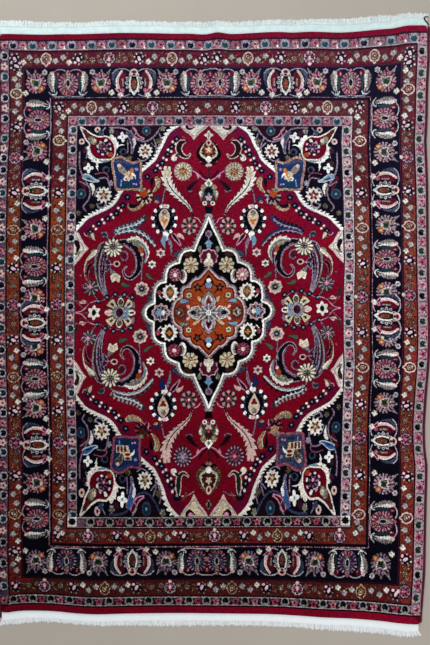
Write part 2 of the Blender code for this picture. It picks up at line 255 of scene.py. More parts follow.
class Pen:
    """Draws knots around a place of the chart; p and q run along the two given directions."""

    def __init__(self, u, v, reach, along=(1, 0), across=(0, 1)):
        c0 = max(0, int((u - reach - LEFT) * KNOTS_PER_UNIT))
        c1 = min(COLUMNS, int((u + reach - LEFT) * KNOTS_PER_UNIT) + 1)
        r0 = max(0, int((v - reach - TOP) * KNOTS_PER_UNIT))
        r1 = min(ROWS, int((v + reach - TOP) * KNOTS_PER_UNIT) + 1)
        c1, r1 = max(c0, c1), max(r0, r1)
        self.view = chart[r0:r1, c0:c1]
        du = (LEFT + (np.arange(c0, c1) + 0.5) / KNOTS_PER_UNIT - u)[None, :]
        dv = (TOP + (np.arange(r0, r1) + 0.5) / KNOTS_PER_UNIT - v)[:, None]
        self.p = du * along[0] + dv * along[1]
        self.q = du * across[0] + dv * across[1]
        self.only = None

    def shifted(self, p, q):
        """The same pen with its origin moved."""
        self.p, self.q = self.p - p, self.q - q
        return self

    def near(self, points, margin):
        """The same pen on the knots around the points alone."""
        pts = np.asarray(points, float)
        low, high = pts.min(axis=0) - margin, pts.max(axis=0) + margin
        held = (self.p >= low[0]) & (self.p <= high[0]) & (self.q >= low[1]) & (self.q <= high[1])
        rows, columns = np.nonzero(held.any(axis=1))[0], np.nonzero(held.any(axis=0))[0]
        close = copy.copy(self)
        if len(rows):
            part = (slice(rows[0], rows[-1] + 1), slice(columns[0], columns[-1] + 1))
        else:
            part = (slice(0, 0), slice(0, 0))
        close.p, close.q, close.view = self.p[part], self.q[part], self.view[part]
        close.only = None if self.only is None else self.only[part]
        return close

    def lay(self, mask, yarn):
        """Knots of one yarn on the masked places, inside the part that the pen may draw on."""
        if self.only is not None:
            mask = mask & self.only
        self.view[mask] = YARN_CODE[yarn]

    def polar(self, p, q, squash=1.0):
        x, y = self.p - p, (self.q - q) / squash
        return np.hypot(x, y), np.arctan2(x, -y)

    def oval(self, p, q, rp, rq, yarn, turn=0.0):
        close = self.near([(p, q)], max(rp, rq) + 1)
        a = math.radians(turn)
        x, y = close.p - p, close.q - q
        x, y = x * math.cos(a) + y * math.sin(a), y * math.cos(a) - x * math.sin(a)
        close.lay((x / rp) ** 2 + (y / rq) ** 2 <= 1, yarn)

    def flower(self, p, q, radius, petals, depth, yarn, phase=0.0, squash=1.0):
        """A scalloped round; petals is how many scallops it has, depth how deep they are."""
        close = self.near([(p, q)], radius * max(1, squash) + 1)
        r, a = close.polar(p, q, squash)
        close.lay(r <= radius * (1 - depth * (0.5 - 0.5 * np.cos(petals * a + phase))), yarn)

    def rays(self, p, q, inner, outer, count, share, yarn, phase=0.0, squash=1.0):
        """Short spokes between two radii; share is how much of the round they fill."""
        close = self.near([(p, q)], outer * max(1, squash) + 1)
        r, a = close.polar(p, q, squash)
        close.lay((r >= inner) & (r <= outer) & (np.cos(count * a + phase) > 1 - 2 * share), yarn)

    def trace(self, points, closed=False):
        """Distance to a smooth line, share of the way along it and side of it, for each knot."""
        line = smooth(points, closed)
        if closed:
            line = np.vstack([line, line[:1]])
        best = np.full(self.p.shape, FAR_OFF)
        place = np.zeros(self.p.shape)
        side = np.zeros(self.p.shape)
        run = 0.0
        for (x0, y0), (x1, y1) in zip(line[:-1], line[1:]):
            dx, dy = x1 - x0, y1 - y0
            length = math.hypot(dx, dy)
            if length < 1e-9:
                continue
            t = np.clip(((self.p - x0) * dx + (self.q - y0) * dy) / length ** 2, 0, 1)
            ex, ey = self.p - x0 - t * dx, self.q - y0 - t * dy
            d = np.hypot(ex, ey)
            near = d < best
            best[near] = d[near]
            place[near] = (run + t * length)[near]
            side[near] = np.sign(dx * ey - dy * ex)[near]
            run += length
        return best, place / max(run, 1e-9), side

    def line(self, points, yarn, width=1.0, closed=False):
        close = self.near(points, width + 4)
        d, _, _ = close.trace(points, closed)
        close.lay(d <= width / 2, yarn)

    def leaf(self, points, half, yarn, other=None, teeth=0, depth=0.35, rim=None, blunt=0.5):
        """A pointed leaf along a line; other is the yarn of one half, teeth notches its edges."""
        close = self.near(points, half + 4)
        d, t, side = close.trace(points)
        reach = half * np.sin(np.pi * np.clip(t, 0.02, 0.98) ** blunt)
        if teeth:
            reach = reach * (1 - depth * ((t * teeth) % 1.0))
        ends = (t > 0.002) & (t < 0.998)
        if rim:
            close.lay((d <= reach + 0.9) & ends, rim)
        close.lay((d <= reach) & ends, yarn)
        if other:
            close.lay((d <= reach) & (side > 0) & ends, other)

    def inside(self, points, curved=True):
        ring = smooth(points, True) if curved else np.array(points, float)
        held = np.zeros(self.p.shape, bool)
        for (x0, y0), (x1, y1) in zip(ring, np.roll(ring, -1, axis=0)):
            if y0 == y1:
                continue
            cross = ((self.q >= y0) != (self.q >= y1)) & (
                self.p < (x1 - x0) * (self.q - y0) / (y1 - y0) + x0)
            held ^= cross
        return held

    def shape(self, points, yarn, rim=None, width=1.0, curved=True):
        if yarn:
            close = self.near(points, 3)
            close.lay(close.inside(points, curved), yarn)
        if rim:
            if curved:
                self.line(points, rim, width, closed=True)
            else:
                pts = list(points) + [points[0]]
                for a, b in zip(pts[:-1], pts[1:]):
                    self.line((a, b), rim, width)

    def dots(self, places, radius, yarn):
        for p, q in places:
            self.oval(p, q, radius, radius, yarn)


# ---- Borders --------------------------------------------------------------------------------
# Stripes from the outside in: chart place of the left, top, right and bottom edge, then the yarn,
# or the four yarns of the top, right, bottom and left.

STRIPES = (
    (-2.0, 33.0, 428.0, 614.9, ("garnet", "garnet", "cerise", "garnet")),
    (-2.0, 39.0, 428.0, 607.2, "dark"),
    (-2.0, 40.6, 428.0, 605.6, ("dusk", "orchid", "fog", "dusk")),
    (-1.0, 41.6, 426.4, 604.6, ("dusk", "orchid", "dark", "dove")),
    (6.0, 48.8, 418.9, 598.3, ("orchid", "orchid", "fog", "dusk")),
    (6.9, 49.8, 418.0, 597.4, "dark"),
    (8.4, 51.6, 416.4, 595.8, ("wine", "russet", "brick", "russet")),
    (20.6, 66.2, 403.8, 580.4, "dark"),
    (21.6, 67.0, 402.8, 579.4, "plum"),
    (22.6, 67.9, 401.9, 578.6, "navy"),
    (48.0, 97.2, 372.6, 547.2, "heather"),
    (48.9, 98.0, 371.8, 546.4, "navy"),
    (50.6, 99.8, 370.2, 544.4, "dark"),
    (51.4, 100.6, 369.4, 543.5, ("madder", "russet", "tile", "russet")),
    (65.0, 114.8, 355.0, 529.0, "dark"),
    (66.3, 116.0, 354.1, 527.4, ("orchid", "fog", "fog", "orchid")),
    (67.2, 116.9, 353.2, 526.6, ("dusk", "orchid", "dark", "dusk")),
    (74.8, 124.2, 345.0, 517.9, ("orchid", "fog", "grey", "fog")),
    (75.6, 125.2, 344.1, 517.0, "plum"),
    (76.4, 126.2, 343.2, 516.1, "crimson"),
)
DYE_CHANGE = 188
# Changes of dye in the russet ground of the side borders: side, from, to, yarn.
ABRASH = (
    ("left", 33, DYE_CHANGE, "madder"), ("left", DYE_CHANGE, 306, "copper"), ("left", 540, 620, "tile"),
    ("right", 33, 206, "madder"),
)
SIDES = {
    "top": ((1, 0), (0, -1)),
    "right": ((0, 1), (1, 0)),
    "bottom": ((1, 0), (0, 1)),
    "left": ((0, 1), (-1, 0)),
}


def chart_part(left, top, right, bottom):
    """The rows and columns of a rectangle of the chart."""
    c0, c1 = (int(round((place - LEFT) * KNOTS_PER_UNIT)) for place in (left, right))
    r0, r1 = (int(round((place - TOP) * KNOTS_PER_UNIT)) for place in (top, bottom))
    return slice(max(r0, 0), max(r1, 0)), slice(max(c0, 0), max(c1, 0))


def mitred_sides():
    """For each knot, which side it belongs to: 0 top, 1 right, 2 bottom, 3 left."""
    row, column = np.arange(ROWS)[:, None], np.arange(COLUMNS)[None, :]
    away = np.stack(np.broadcast_arrays(row, COLUMNS - 1 - column, ROWS - 1 - row, column))
    return np.argmin(away, axis=0)


def lay_stripes():
    """Plain stripes of the borders and the field, then the changes of dye."""
    sides = mitred_sides()
    for left, top, right, bottom, yarns in STRIPES:
        part = chart_part(left, top, right, bottom)
        if isinstance(yarns, str):
            yarns = (yarns,) * len(SIDES)
        codes = np.array([YARN_CODE[yarn] for yarn in yarns], np.uint8)
        chart[part] = codes[sides[part]]
    for side, top, bottom, yarn in ABRASH:
        left, right = (LEFT, MIDDLE_U) if side == "left" else (MIDDLE_U, RIGHT)
        view = chart[chart_part(left, top, right, bottom)]
        view[view == YARN_CODE["russet"]] = YARN_CODE[yarn]


def stripe_pen(side, along, across, reach):
    """Pen at a place along a side, on the chart's own middle line of a stripe; q points outwards."""
    if side in ("top", "bottom"):
        u, _ = to_chart(along, across)
        return Pen(float(u), across, reach, *SIDES[side])
    _, v = to_chart(across, along)
    return Pen(across, float(v), reach, *SIDES[side])


# Guard stripes: side, across, places of the rosettes along.
GUARDS = (
    ("top", 44.9, (13, 32.7, 52, 71.5, 91.5, 111.8, 132.3, 151.5, 170.7, 190.6, 208.5, 225, 245.6, 265,
                   285, 305, 325, 344.5, 364, 391, 414)),
    ("bottom", 601.5, (13.5, 33, 51, 69.5, 89, 109, 129, 148.5, 168.5, 189, 206.5, 225.5, 245, 265,
                       285, 304, 323, 343, 363, 385, 405)),
    ("left", 2.6, (56, 77, 98, 118.5, 138.5, 158, 170, 193, 216, 238.5, 262, 285, 307, 328, 350, 373,
                   393, 413, 433, 452, 476, 495, 519, 542, 563, 586)),
    ("right", 422.8, (51, 73, 95.5, 118.5, 139, 160, 170, 190.5, 211.5, 232.5, 251, 273, 296, 321.5,
                      344, 364.5, 385, 407, 427.5, 449, 476.5, 499, 525, 550, 575, 598)),
    ("top", 120.9, (82, 102.2, 121.3, 140.5, 159.7, 178.9, 198.8, 220.5, 239.7, 258.9, 278.8, 297.3,
                    317.2, 337)),
    ("bottom", 522.1, (90.5, 109.5, 129.5, 149.5, 169, 190, 208.5, 226.5, 247, 267.5, 287.5, 306.5,
                       326, 345)),
    ("left", 71.4, (130, 149.5, 172, 193.5, 216.5, 238, 260, 284.5, 306.5, 328.5, 351, 371.5, 393, 413,
                    431, 452, 475, 497, 515)),
    ("right", 348.9, (130.5, 151.5, 172.5, 192.5, 215, 236.5, 255.5, 277, 298, 322.5, 344, 364.5, 384,
                      405.5, 426, 449, 473, 496.5, 516)),
)
# Looks of a guard stripe by side: rosette's ring, its two discs, the star, its pale corner.
GUARD_YARNS = {
    "top": ("lilac", ("teal", "navy"), ("petal", "rose"), "white"),
    "right": ("fog", ("green", "black"), ("blush", "petal"), "fog"),
    "outer right": ("grey", ("green", "black"), ("petal", "rose"), "grey"),
    "bottom": ("grey", ("navy", "black"), ("rose", "petal"), "stone"),
    "left": ("fog", ("navy", "teal"), ("blush", "petal"), "orchid"),
}
STAR_CORNERS = ((2.5, 44.9), (423.0, 44.9), (2.4, 601.4), (422.8, 601.2), (71.4, 120.7), (348.7, 120.7))
ROSETTE_CORNERS = ((71.0, 521.4), (348.9, 521.0))
STAR_GAP = 13


def guard_rosette(pen, ring, disc):
    """Rosette of a guard stripe, with the small tendrils on both sides of it."""
    pen.flower(0, 0.1, 4.7, 7, 0.16, ring)
    pen.oval(0, -0.5, 3.1, 3.1, disc)
    pen.oval(0, 2.4, 1.3, 1.1, ring)
    pen.line(((-1.4, 0.6), (-0.9, -1.4)), "slate", 0.5)
    for s in (-1, 1):
        pen.line(((6.4 * s, 3.4), (5.0 * s, 3.0), (5.4 * s, 0.8)), "plum", 1.1)
        pen.line(((5.2 * s, -0.8), (6.4 * s, -2.0), (5.0 * s, -3.4)), "dove", 1.0)


def guard_star(pen, star, corner):
    """Small star between two rosettes of a guard stripe."""
    pen.flower(0, 0, 4.1, 5, 0.34, star, squash=0.95)
    pen.oval(0, 0.1, 1.15, 1.2, "wine")
    pen.oval(-3.7, 3.2, 0.9, 0.8, "wine")
    pen.oval(3.7, 3.0, 0.9, 0.8, "wine")
    pen.oval(2.8, -2.6, 1.2, 1.5, corner)


def lay_guards():
    """Rosettes and stars of all guard stripes, and the ones at their corners."""
    for k, (side, across, places) in enumerate(GUARDS):
        outer_right = side == "right" and k < 4
        ring, discs, stars, corner = GUARD_YARNS["outer right" if outer_right else side]
        for i, (place, following) in enumerate(zip(places, places[1:] + (None,))):
            guard_rosette(stripe_pen(side, place, across, 9), ring, discs[(i + k) % 3 == 0])
            if side == "top" and k > 0:
                corner = "orchid"
            if following and following - place > STAR_GAP:
                guard_star(stripe_pen(side, (place + following) / 2, across, 7), stars[(i + k) % 2],
                           corner)
    for place in STAR_CORNERS:
        guard_star(Pen(*place, 7), "petal", "orchid")
    for place in ROSETTE_CORNERS:
        pen = Pen(*place, 7)
        pen.shape(((-4.4, -4.4), (4.4, -4.4), (4.4, 5), (-4.4, 5)), "ivory", curved=False)
        pen.flower(0, 0, 3.9, 8, 0.18, "black")
        pen.rays(0, 0, 1.0, 3.0, 5, 0.2, "green")


# ---- Narrow borders -------------------------------------------------------------------------
# Side, middle across, motifs along: D dark floret, H hexagon, P ring palmette.

NARROW_BORDERS = (
    ("top", 58.6, "D14.5 H46 D78 P109 D139 H172 D204.5 D217 H248 D281 P309.6 D341 H374.5 D410"),
    ("bottom", 588.3, "D15.8 P44.6 D74 H104.9 D136.4 P170 D201.6 H232 D266.4 P297.3 D328.8 H361 D396"),
    ("left", 14.4,
     "D66 H93.5 D127 P158 D193 H230 D268.5 P305 D340 H377.5 D411 P443 D476 H514 D551.5 x578"),
    ("right", 410.0,
     "D62 H89 D125.5 P157 D191 H226 D260.5 P295 D332.5 H367.5 D406 P439.5 D476.5 H518 D559.5 P592"),
    ("top", 107.3, "D59 H91.5 D124 P152.5 D182.4 D235.6 P265.7 D295 H327.4 D360"),
    ("bottom", 536.4, "D58 P88 D117 H150 D183.7 P214.6 D243.8 H277.4 D309 P339.5"),
    ("left", 58.0, "x107 H140.5 D193 H230 D268 P304.5 D340 H376.5 D411 P443 D478 H514.5 x540"),
    ("right", 362.4, "x107 H141 D193 H228 D263.5 P297 D332.5 H367.5 D404.5 P438 D475 H514.5 x540"),
)


def dark_floret(pen, side):
    """Dark lobed flower of the narrow borders."""
    dots = "stone" if side == "bottom" else "fog"
    pen.flower(0, 0, 6.4, 7, 0.3, "black", squash=0.95)
    pen.rays(0, 0, 3.2, 5.2, 7, 0.14, "plum", phase=math.pi)
    pen.oval(0.1, -0.5, 1.5, 2.7, "shell", 24)
    pen.dots(((-2.6, 4.4), (-4.6, 0.9), (0.9, -5.2), (3.8, 1.8), (2.2, 5.0)), 0.95, dots)
    pen.oval(-3.0, -3.7, 1.4, 1.4, "shell")
    pen.oval(3.6, -3.4, 1.0, 1.0, "grey")


# Ring, ground and heart of the hexagons by side.
HEXAGON_YARNS = {
    "top": ("blush", "umber", "brick"), "right": ("blush", "brick", "olive"),
    "bottom": ("camel", "brown", "umber"), "left": ("camel", "brick", "umber"),
    "far left": ("cream", "umber", "olive"),
}


def hexagon(pen, side):
    """Pale ringed hexagon of the narrow borders."""
    ring_yarn, ground, heart = HEXAGON_YARNS[side]
    ring = ((0, 6.0), (3.2, 4.2), (4.6, 0.8), (4.2, -2.6), (1.8, -4.6), (0, -7.0), (-1.8, -4.6),
            (-4.2, -2.6), (-4.6, 0.8), (-3.2, 4.2))
    pen.oval(0, -0.2, 6.0, 6.8, "brown")
    pen.flower(0, -0.1, 5.9, 8, 0.14, ring_yarn, squash=1.08)
    pen.shape(ring, ground, ring_yarn, 1.2)
    pen.flower(0, 0, 2.9, 6, 0.2, "camel", squash=1.1)
    pen.flower(0, 0.1, 2.1, 5, 0.2, heart, squash=1.1)
    pen.oval(0.2, 0, 0.8, 0.9, "blush")
    pen.oval(-1.2, 2.6, 0.8, 0.7, "blush")


def ring_palmette(pen, side):
    """Palmette of the narrow borders, ring around a bud."""
    at_end = side in ("top", "bottom")
    pen.oval(0, 0, 6.8, 7.0, "plum")
    pen.flower(0, 0, 6.0, 9, 0.12, "fog" if at_end else "lilac")
    pen.oval(0, 0, 4.8, 5.0, "plum")
    pen.rays(0, 0, 3.0, 5.0, 7, 0.4, "heather")
    bud = ((0, 3.4), (1.5, 0.4), (2.9, -1.6), (1.4, -3.2), (-1.4, -3.2), (-2.9, -1.6), (-1.5, 0.4))
    pen.shape(bud, "petal" if at_end else "rose")
    pen.oval(0, -0.8, 1.2, 2.0, "shell" if at_end else "petal")
    pen.oval(0, -6.4, 1.9, 1.7, "blush")
    pen.oval(0, -6.6, 1.0, 0.9, "ivory")


def floret(pen, bright):
    """Tiny flower."""
    pen.flower(0, 0, 3.3, 5, 0.3, "sage")
    pen.flower(0.3, 0.4, 2.8, 4, 0.4, bright, phase=0.6)
    pen.oval(-0.2, 0, 0.6, 0.6, "olive")


def pip(pen, yarn):
    """Tiny round flower with a brown ring."""
    pen.flower(0, 0, 2.7, 6, 0.3, yarn)
    pen.oval(0, 0, 1.5, 1.5, "brown")
    pen.oval(0, 0, 0.7, 0.7, "camel")


UNDERGROWTH_PITCH = 1.4
UNDERGROWTH_YARNS = {
    "end": ("umber", "madder", "brown", "olive", "plum", "russet", "red", "umber"),
    "side": ("umber", "red", "brown", "olive", "plum", "terra", "red", "umber"),
}


def undergrowth(side, across, start, end, dice):
    """Small brown leaves and redder spots that fill the ground between two motifs."""
    count = int((end - start) / UNDERGROWTH_PITCH)
    for k in range(count):
        along = start + (end - start) * (k + 0.5) / count
        pen = stripe_pen(side, along, across, 8)
        q = (4.8, -4.4, 0.4, -2.2, 2.4)[k % 5] + dice.uniform(-1, 1)
        yarns = UNDERGROWTH_YARNS["end" if side in ("top", "bottom") else "side"]
        yarn = yarns[(3 * k + int(start)) % len(yarns)]
        pen.oval(dice.uniform(-1, 1), q, dice.uniform(0.8, 1.7), dice.uniform(0.6, 1.2), yarn,
                 dice.uniform(0, 90))


def vine(side, across, start, end):
    """Stem between two motifs of a narrow border."""
    half = (end - start) / 2
    pen = stripe_pen(side, (start + end) / 2, across, half + 6)
    stem = ((-half, 1.5), (-half * 0.45, 5.4), (0, 0.5), (half * 0.45, -5.0), (half, -1.0))
    pen.line(stem, "brown", 0.9)
    pen.line(((-half * 0.5, -1.5), (-half * 0.2, -5.0), (half * 0.1, -2.0)), "umber", 1.0)


MOTIF_GAP = 20
# Share of the way from one motif to the next, q and yarn of the small flowers between them.
BY_HEXAGON = ((0.29, -2.0, "fog"), (0.53, 1.4, "fog"), (0.72, -3.6, "ivory"))
BY_PALMETTE = ((0.26, -2.6, "stone"), (0.36, 2.6, "umber"), (0.54, -0.8, "sage"), (0.72, 2.8, "umber"),
               (0.78, -3.0, "umber"))


def between_motifs(side, across, first, second):
    """Small flowers between two motifs of a narrow border."""
    (kind, start), (next_kind, end) = first, second
    if end - start < MOTIF_GAP:
        return
    pair = kind + next_kind
    by_hexagon = "P" not in pair
    from_first = kind in "HP"
    for share, q, yarn in BY_HEXAGON if by_hexagon else BY_PALMETTE:
        along = start + (end - start) * (share if from_first else 1 - share)
        pen = stripe_pen(side, along, across, 9).shifted(0, q)
        if by_hexagon:
            floret(pen, yarn)
        else:
            pip(pen, yarn)


def lay_narrow_borders():
    """All narrow borders: ground, stems, small flowers, then the motifs."""
    drawn = {"D": dark_floret, "H": hexagon, "P": ring_palmette}
    dice = np.random.default_rng(3)
    for side, across, text in NARROW_BORDERS:
        motifs = [(item[0], float(item[1:])) for item in text.split()]
        for (_, start), (_, end) in zip(motifs[:-1], motifs[1:]):
            undergrowth(side, across, start, end, dice)
            vine(side, across, start, end)
        for first, second in zip(motifs[:-1], motifs[1:]):
            between_motifs(side, across, first, second)
        for kind, along in motifs:
            if kind in drawn:
                part = "far left" if side == "left" and along < DYE_CHANGE else side
                drawn[kind](stripe_pen(side, along, across, 10), part)


# ---- Main border ----------------------------------------------------------------------------
# Side, middle across, motifs along: P serrated palmette, A leaf cartouche, B flower cartouche,
# C the double leaf cartouche in the middle of an end.

MAIN_BORDERS = (
    ("top", 83.2, "P36 A68 P101 B134 P167 C210.2 P251 B285.6 P317 A350.7 P386"),
    ("bottom", 561.3, "P36 A66.5 P98 B132.3 P166 C207 P248.6 B282 P315 A347.3 P381"),
    ("left", 36.2, "A120 P151 B191 P229 A266.5 P298 B323 P346 A379 P408 B445 P483 A519"),
    ("right", 386.4, "A118 P152 B190 P225 A259 P292 B316 P337 A369 P403 B441 P484 A521.5"),
)
# By side: cartouche palmette, its strokes, palmette strokes, outline, dab.
MAIN_YARNS = {
    "top": ("heather", "plum", "petal", "lilac", "orange"),
    "right": ("heather", "plum", "orchid", "fog", "orange"),
    "bottom": ("aster", "navy", "mauve", "fog", "orange"),
    "left": ("heather", "plum", "petal", "lilac", "orange"),
}


def serrated_leaf(pen, s, p):
    """Toothed leaf that bounds a cartouche: white bars inside, grey teeth outside."""
    def at(places):
        return [((p + x) * s, y) for x, y in places]

    spine = at(((16.4, 10.8), (17.2, 3), (16.8, -4), (14.6, -11.4)))
    pen.leaf(at(((12.8, 10), (11.3, 0), (12.4, -10))), 2.4, "teal")
    pen.leaf(spine, 4.0, "stone", teeth=10, depth=0.42)
    pen.line(spine, "umber", 0.8)
    pen.leaf(at(((15.2, 10.2), (15.0, 3), (14.6, -4), (12.8, -10.6))), 2.5, "ivory", teeth=8,
             depth=0.55, blunt=0.3)
    for k in range(7):
        q = 8.0 - 2.6 * k
        pen.line(at(((16.8, q + 1.0), (16.0, q))), "fog", 1.1)
    pen.line(at(((15.4, -11.2), (12.4, -11.0), (11.2, -8.6))), "ice", 1.1)
    pen.oval((p + 16.2) * s, 10.4, 1.7, 1.7, "blush")


def cartouche_palmette(pen, yarns):
    """Palmette in the middle of a leaf cartouche."""
    body, strokes = yarns[:2]
    half = ((0, 12.6), (3.2, 10.2), (7.6, 7.2), (10.3, 1.6), (9.8, -4.4), (7.2, -9.4), (3.4, -12),
            (0, -10.8))
    outer = half + tuple((-p, q) for p, q in half[-2:0:-1])
    pen.shape(outer, body, strokes, 0.9)
    pen.rays(0, 0, 6.2, 10.8, 18, 0.34, strokes, squash=1.08)
    pen.rays(0, 0, 7.6, 10.0, 18, 0.3, "petal", phase=math.pi, squash=1.08)
    pen.flower(0, 0, 6.6, 9, 0.2, strokes, squash=1.15)
    pen.flower(0, 0, 5.7, 9, 0.24, body, squash=1.15)
    pen.oval(0, 7.0, 2.0, 2.8, "sage")
    pen.oval(0, 0.2, 3.1, 5.0, strokes)
    pen.oval(0, 0.2, 2.6, 4.5, "fog")
    pen.oval(0, 0.2, 1.7, 3.4, "dark")
    pen.oval(0, -5.4, 1.2, 1.2, "camel")
    pen.line(((-4.2, -9.6), (0, -7.4), (4.2, -9.6)), "terra", 0.8)
    pen.oval(0, 12.2, 1.3, 1.5, "petal")


def lobe(pen, p):
    """Small wine-red lobe on the outer edge of a cartouche."""
    pen.oval(p, 9.2, 2.9, 3.0, "wine")
    pen.oval(p * 0.9, 8.8, 0.9, 1.7, "petal")


def cartouche_end(pen, s, p, edge_yarn):
    """One end of a leaf cartouche, p from its middle: arch, lobe, leaf and foot line."""
    arch = ((p - 8.4, 12.4), (p - 4.8, 14.0), (p - 0.2, 13.7), (p + 3.4, 11.4))
    pen.line([(x * s, y) for x, y in arch], edge_yarn, 1.0)
    foot = ((p - 11, -12.2), (p - 6.4, -12.9), (p + 3, -12.5), (p + 8.2, -8.8))
    pen.line([(x * s, y) for x, y in foot], edge_yarn, 1.0)
    serrated_leaf(pen, s, p - 11)
    lobe(pen, (p + 0.2) * s)


def leaf_cartouche(pen, yarns):
    """Cartouche between two serrated leaves."""
    edge_yarn = yarns[3]
    pen.shape(((-19, 9), (-12, 13.6), (12, 13.6), (19, 9), (20, -7), (14, -12), (-14, -12), (-20, -7)),
              "navy")
    for s in (-1, 1):
        cartouche_end(pen, s, 11, edge_yarn)
    cartouche_palmette(pen, yarns)


def double_cartouche(pen, yarns):
    """Long cartouche with two palmettes, in the middle of an end."""
    edge_yarn = yarns[3]
    pen.shape(((-29, 9), (-22, 13.6), (22, 13.6), (29, 9), (30, -7), (24, -12), (-24, -12), (-30, -7)),
              "navy")
    for s in (-1, 1):
        cartouche_end(pen, s, 21, edge_yarn)
    for s in (-1, 1):
        cartouche_palmette(copy.copy(pen).shifted(9.9 * s, 0), yarns)
        pen.line(((9.2 * s, 12.0), (5.2 * s, 13.8), (0, 14.2)), edge_yarn, 1.0)
    pen.line(((-10, -12.6), (10, -12.6)), edge_yarn, 1.0)
    lobe(pen, 0)
    pen.oval(0, -1.6, 1.4, 1.8, "orange")
    pen.oval(0, 2.4, 1.2, 1.8, "dark")
    pen.shape(((-3.4, -9.4), (3.4, -9.4), (0, -5.2)), "navy", curved=False)
    pen.shape(((-2.6, -12.2), (2.6, -12.2), (0, -9.2)), "camel", curved=False)


def flower_cartouche(pen, yarns):
    """Cartouche around a dark flower head."""
    edge_yarn = yarns[3]
    pen.shape(((-21.5, 8), (-17, 13), (0, 13.4), (17, 13), (21.5, 8), (20, -6), (14, -12.5), (0, -10),
               (-14, -12.5), (-20, -6)), "navy")
    for s in (-1, 1):
        pen.leaf(((15.5 * s, 12.6), (20.2 * s, 8.4), (20.6 * s, 1.5), (18.9 * s, -4.6)), 1.9, "slate")
        pen.leaf(((9.6 * s, 10.8), (13.0 * s, 5), (13.6 * s, -2), (12.0 * s, -8.5)), 4.2, "wine")
        pen.line(((12.4 * s, 11.6), (16.0 * s, 6.0), (16.5 * s, -0.5), (15.3 * s, -6.0)), "blush", 2.4)
        pen.line(((14.6 * s, 9.6), (17.6 * s, 4.0), (17.8 * s, -1.6), (16.8 * s, -5.6)), "ivory", 1.2)
        pen.shape(((18.8 * s, -5.8), (14.6 * s, -5.6), (11.0 * s, -11.0), (14.4 * s, -10)), "wine",
                  "pink", 0.8, curved=False)
        pen.line(((11.4 * s, 3.8), (11.2 * s, -3.0)), "sage", 1.6)
        pen.line(((13.3 * s, 3.8), (13.2 * s, -2.6)), "red", 0.8)
        pen.oval(11.2 * s, -7.3, 1.8, 2.3, "rose")
        pen.oval(11.4 * s, -7.6, 0.8, 1.2, "petal")
        pen.line(((5.0 * s, 12.0), (9.0 * s, 13.7), (13.0 * s, 13.9), (18.0 * s, 13.0),
                  (21.8 * s, 9.4)), edge_yarn, 1.0)
        pen.line(((4.5 * s, -11.4), (9.0 * s, -13.0), (15.5 * s, -12.6)), edge_yarn, 0.9)
        floret(copy.copy(pen).shifted(13.8 * s, -12.3), "ivory")
    pen.oval(0, -0.2, 8.6, 10.8, "dark")
    pen.flower(0, 0, 9.4, 12, 0.2, "fog", squash=1.12)
    pen.rays(0, 0, 6.6, 8.0, 12, 0.26, "slate", squash=1.12)
    pen.rays(0, 0, 6.0, 9.6, 12, 0.1, "dark", phase=math.pi, squash=1.12)
    pen.flower(0, 0, 6.2, 8, 0.1, "black", squash=1.3)
    for s in (-1, 1):
        pen.line(((3.2 * s, 5.6), (4.4 * s, -0.6), (3.2 * s, -6.6), (0.6 * s, -10.6)), "ivory", 1.5)
        pen.dots(((6.0 * s, 3.5), (6.2 * s, -2.6)), 0.8, "slate")
    pen.oval(0, -1.2, 2.6, 5.6, "umber")
    pen.oval(0, -1.4, 1.9, 4.6, "russet")
    pen.line(((0, 3), (0, -5)), "umber", 0.8)
    pen.oval(0, 10.2, 4.3, 3.8, "blush")
    pen.oval(0, 10.8, 2.3, 1.6, "wine")
    pen.oval(0, 8.0, 1.5, 1.2, "green")
    pen.oval(0, -10.6, 1.4, 1.8, "ice")


def serrated_palmette(pen, yarns, lean):
    """Palmette between two cartouches; lean is the side that its bud is on."""
    strokes, dab = yarns[2], yarns[4]
    for s in (-1, 1):
        pen.leaf(((6.0 * s, 8.0), (9.4 * s, 13.2)), 1.6, "stone")
        pen.line(((7.4 * s, 10.6), (9.6 * s, 13.6)), "lilac", 0.8)
    pen.leaf(((-3.4, 13.4), (0, 12.0), (3.4, 13.4)), 1.6, "black")
    pen.flower(0, 0.3, 10.8, 10, 0.22, "dark", squash=1.04)
    pen.flower(0, 0.3, 10.2, 10, 0.24, "plum", squash=1.04)
    pen.rays(0, 0.3, 6.6, 10.2, 17, 0.42, strokes, squash=1.04)
    pen.rays(0, 0.3, 7.4, 9.4, 7, 0.2, "stone", squash=1.04)
    pen.flower(0, 0.3, 7.3, 9, 0.2, "dark", phase=math.pi)
    pen.rays(0, 0.3, 4.8, 7.6, 11, 0.42, strokes, phase=1.0)
    pen.rays(0, 0.3, 5.6, 7.0, 5, 0.22, "petal", phase=2.0)
    pen.flower(0, 0.3, 5.4, 7, 0.2, "plum")
    heart = ((-4.6 * lean, 3.8), (-1.2 * lean, 4.4), (1.2 * lean, 3.4), (4.4 * lean, 4.8),
             (4.2 * lean, 0.2), (1.6 * lean, -4.8), (-2.4 * lean, -3.8), (-4.4 * lean, 0))
    pen.shape(heart, "olive", "fog", 1.3)
    pen.oval(0.2 * lean, -0.2, 2.2, 2.8, "green")
    pen.oval(0.2 * lean, -3.6, 1.8, 1.0, "cream")
    pen.oval(5.4 * lean, -5.4, 2.9, 3.2, "umber")
    pen.oval(5.4 * lean, -5.2, 2.1, 2.5, dab)
    pen.oval(5.6 * lean, -5.2, 0.8, 1.1, "blush")
    pen.flower(8.8 * lean, 11.4, 2.9, 6, 0.2, "fog")
    pen.oval(8.8 * lean, 11.4, 1.1, 1.1, "dusk")
    pen.oval(-0.5 * lean, 12.4, 1.2, 1.5, "stone")
    floret(copy.copy(pen).shifted(-10.6 * lean, -9.8), "ivory")


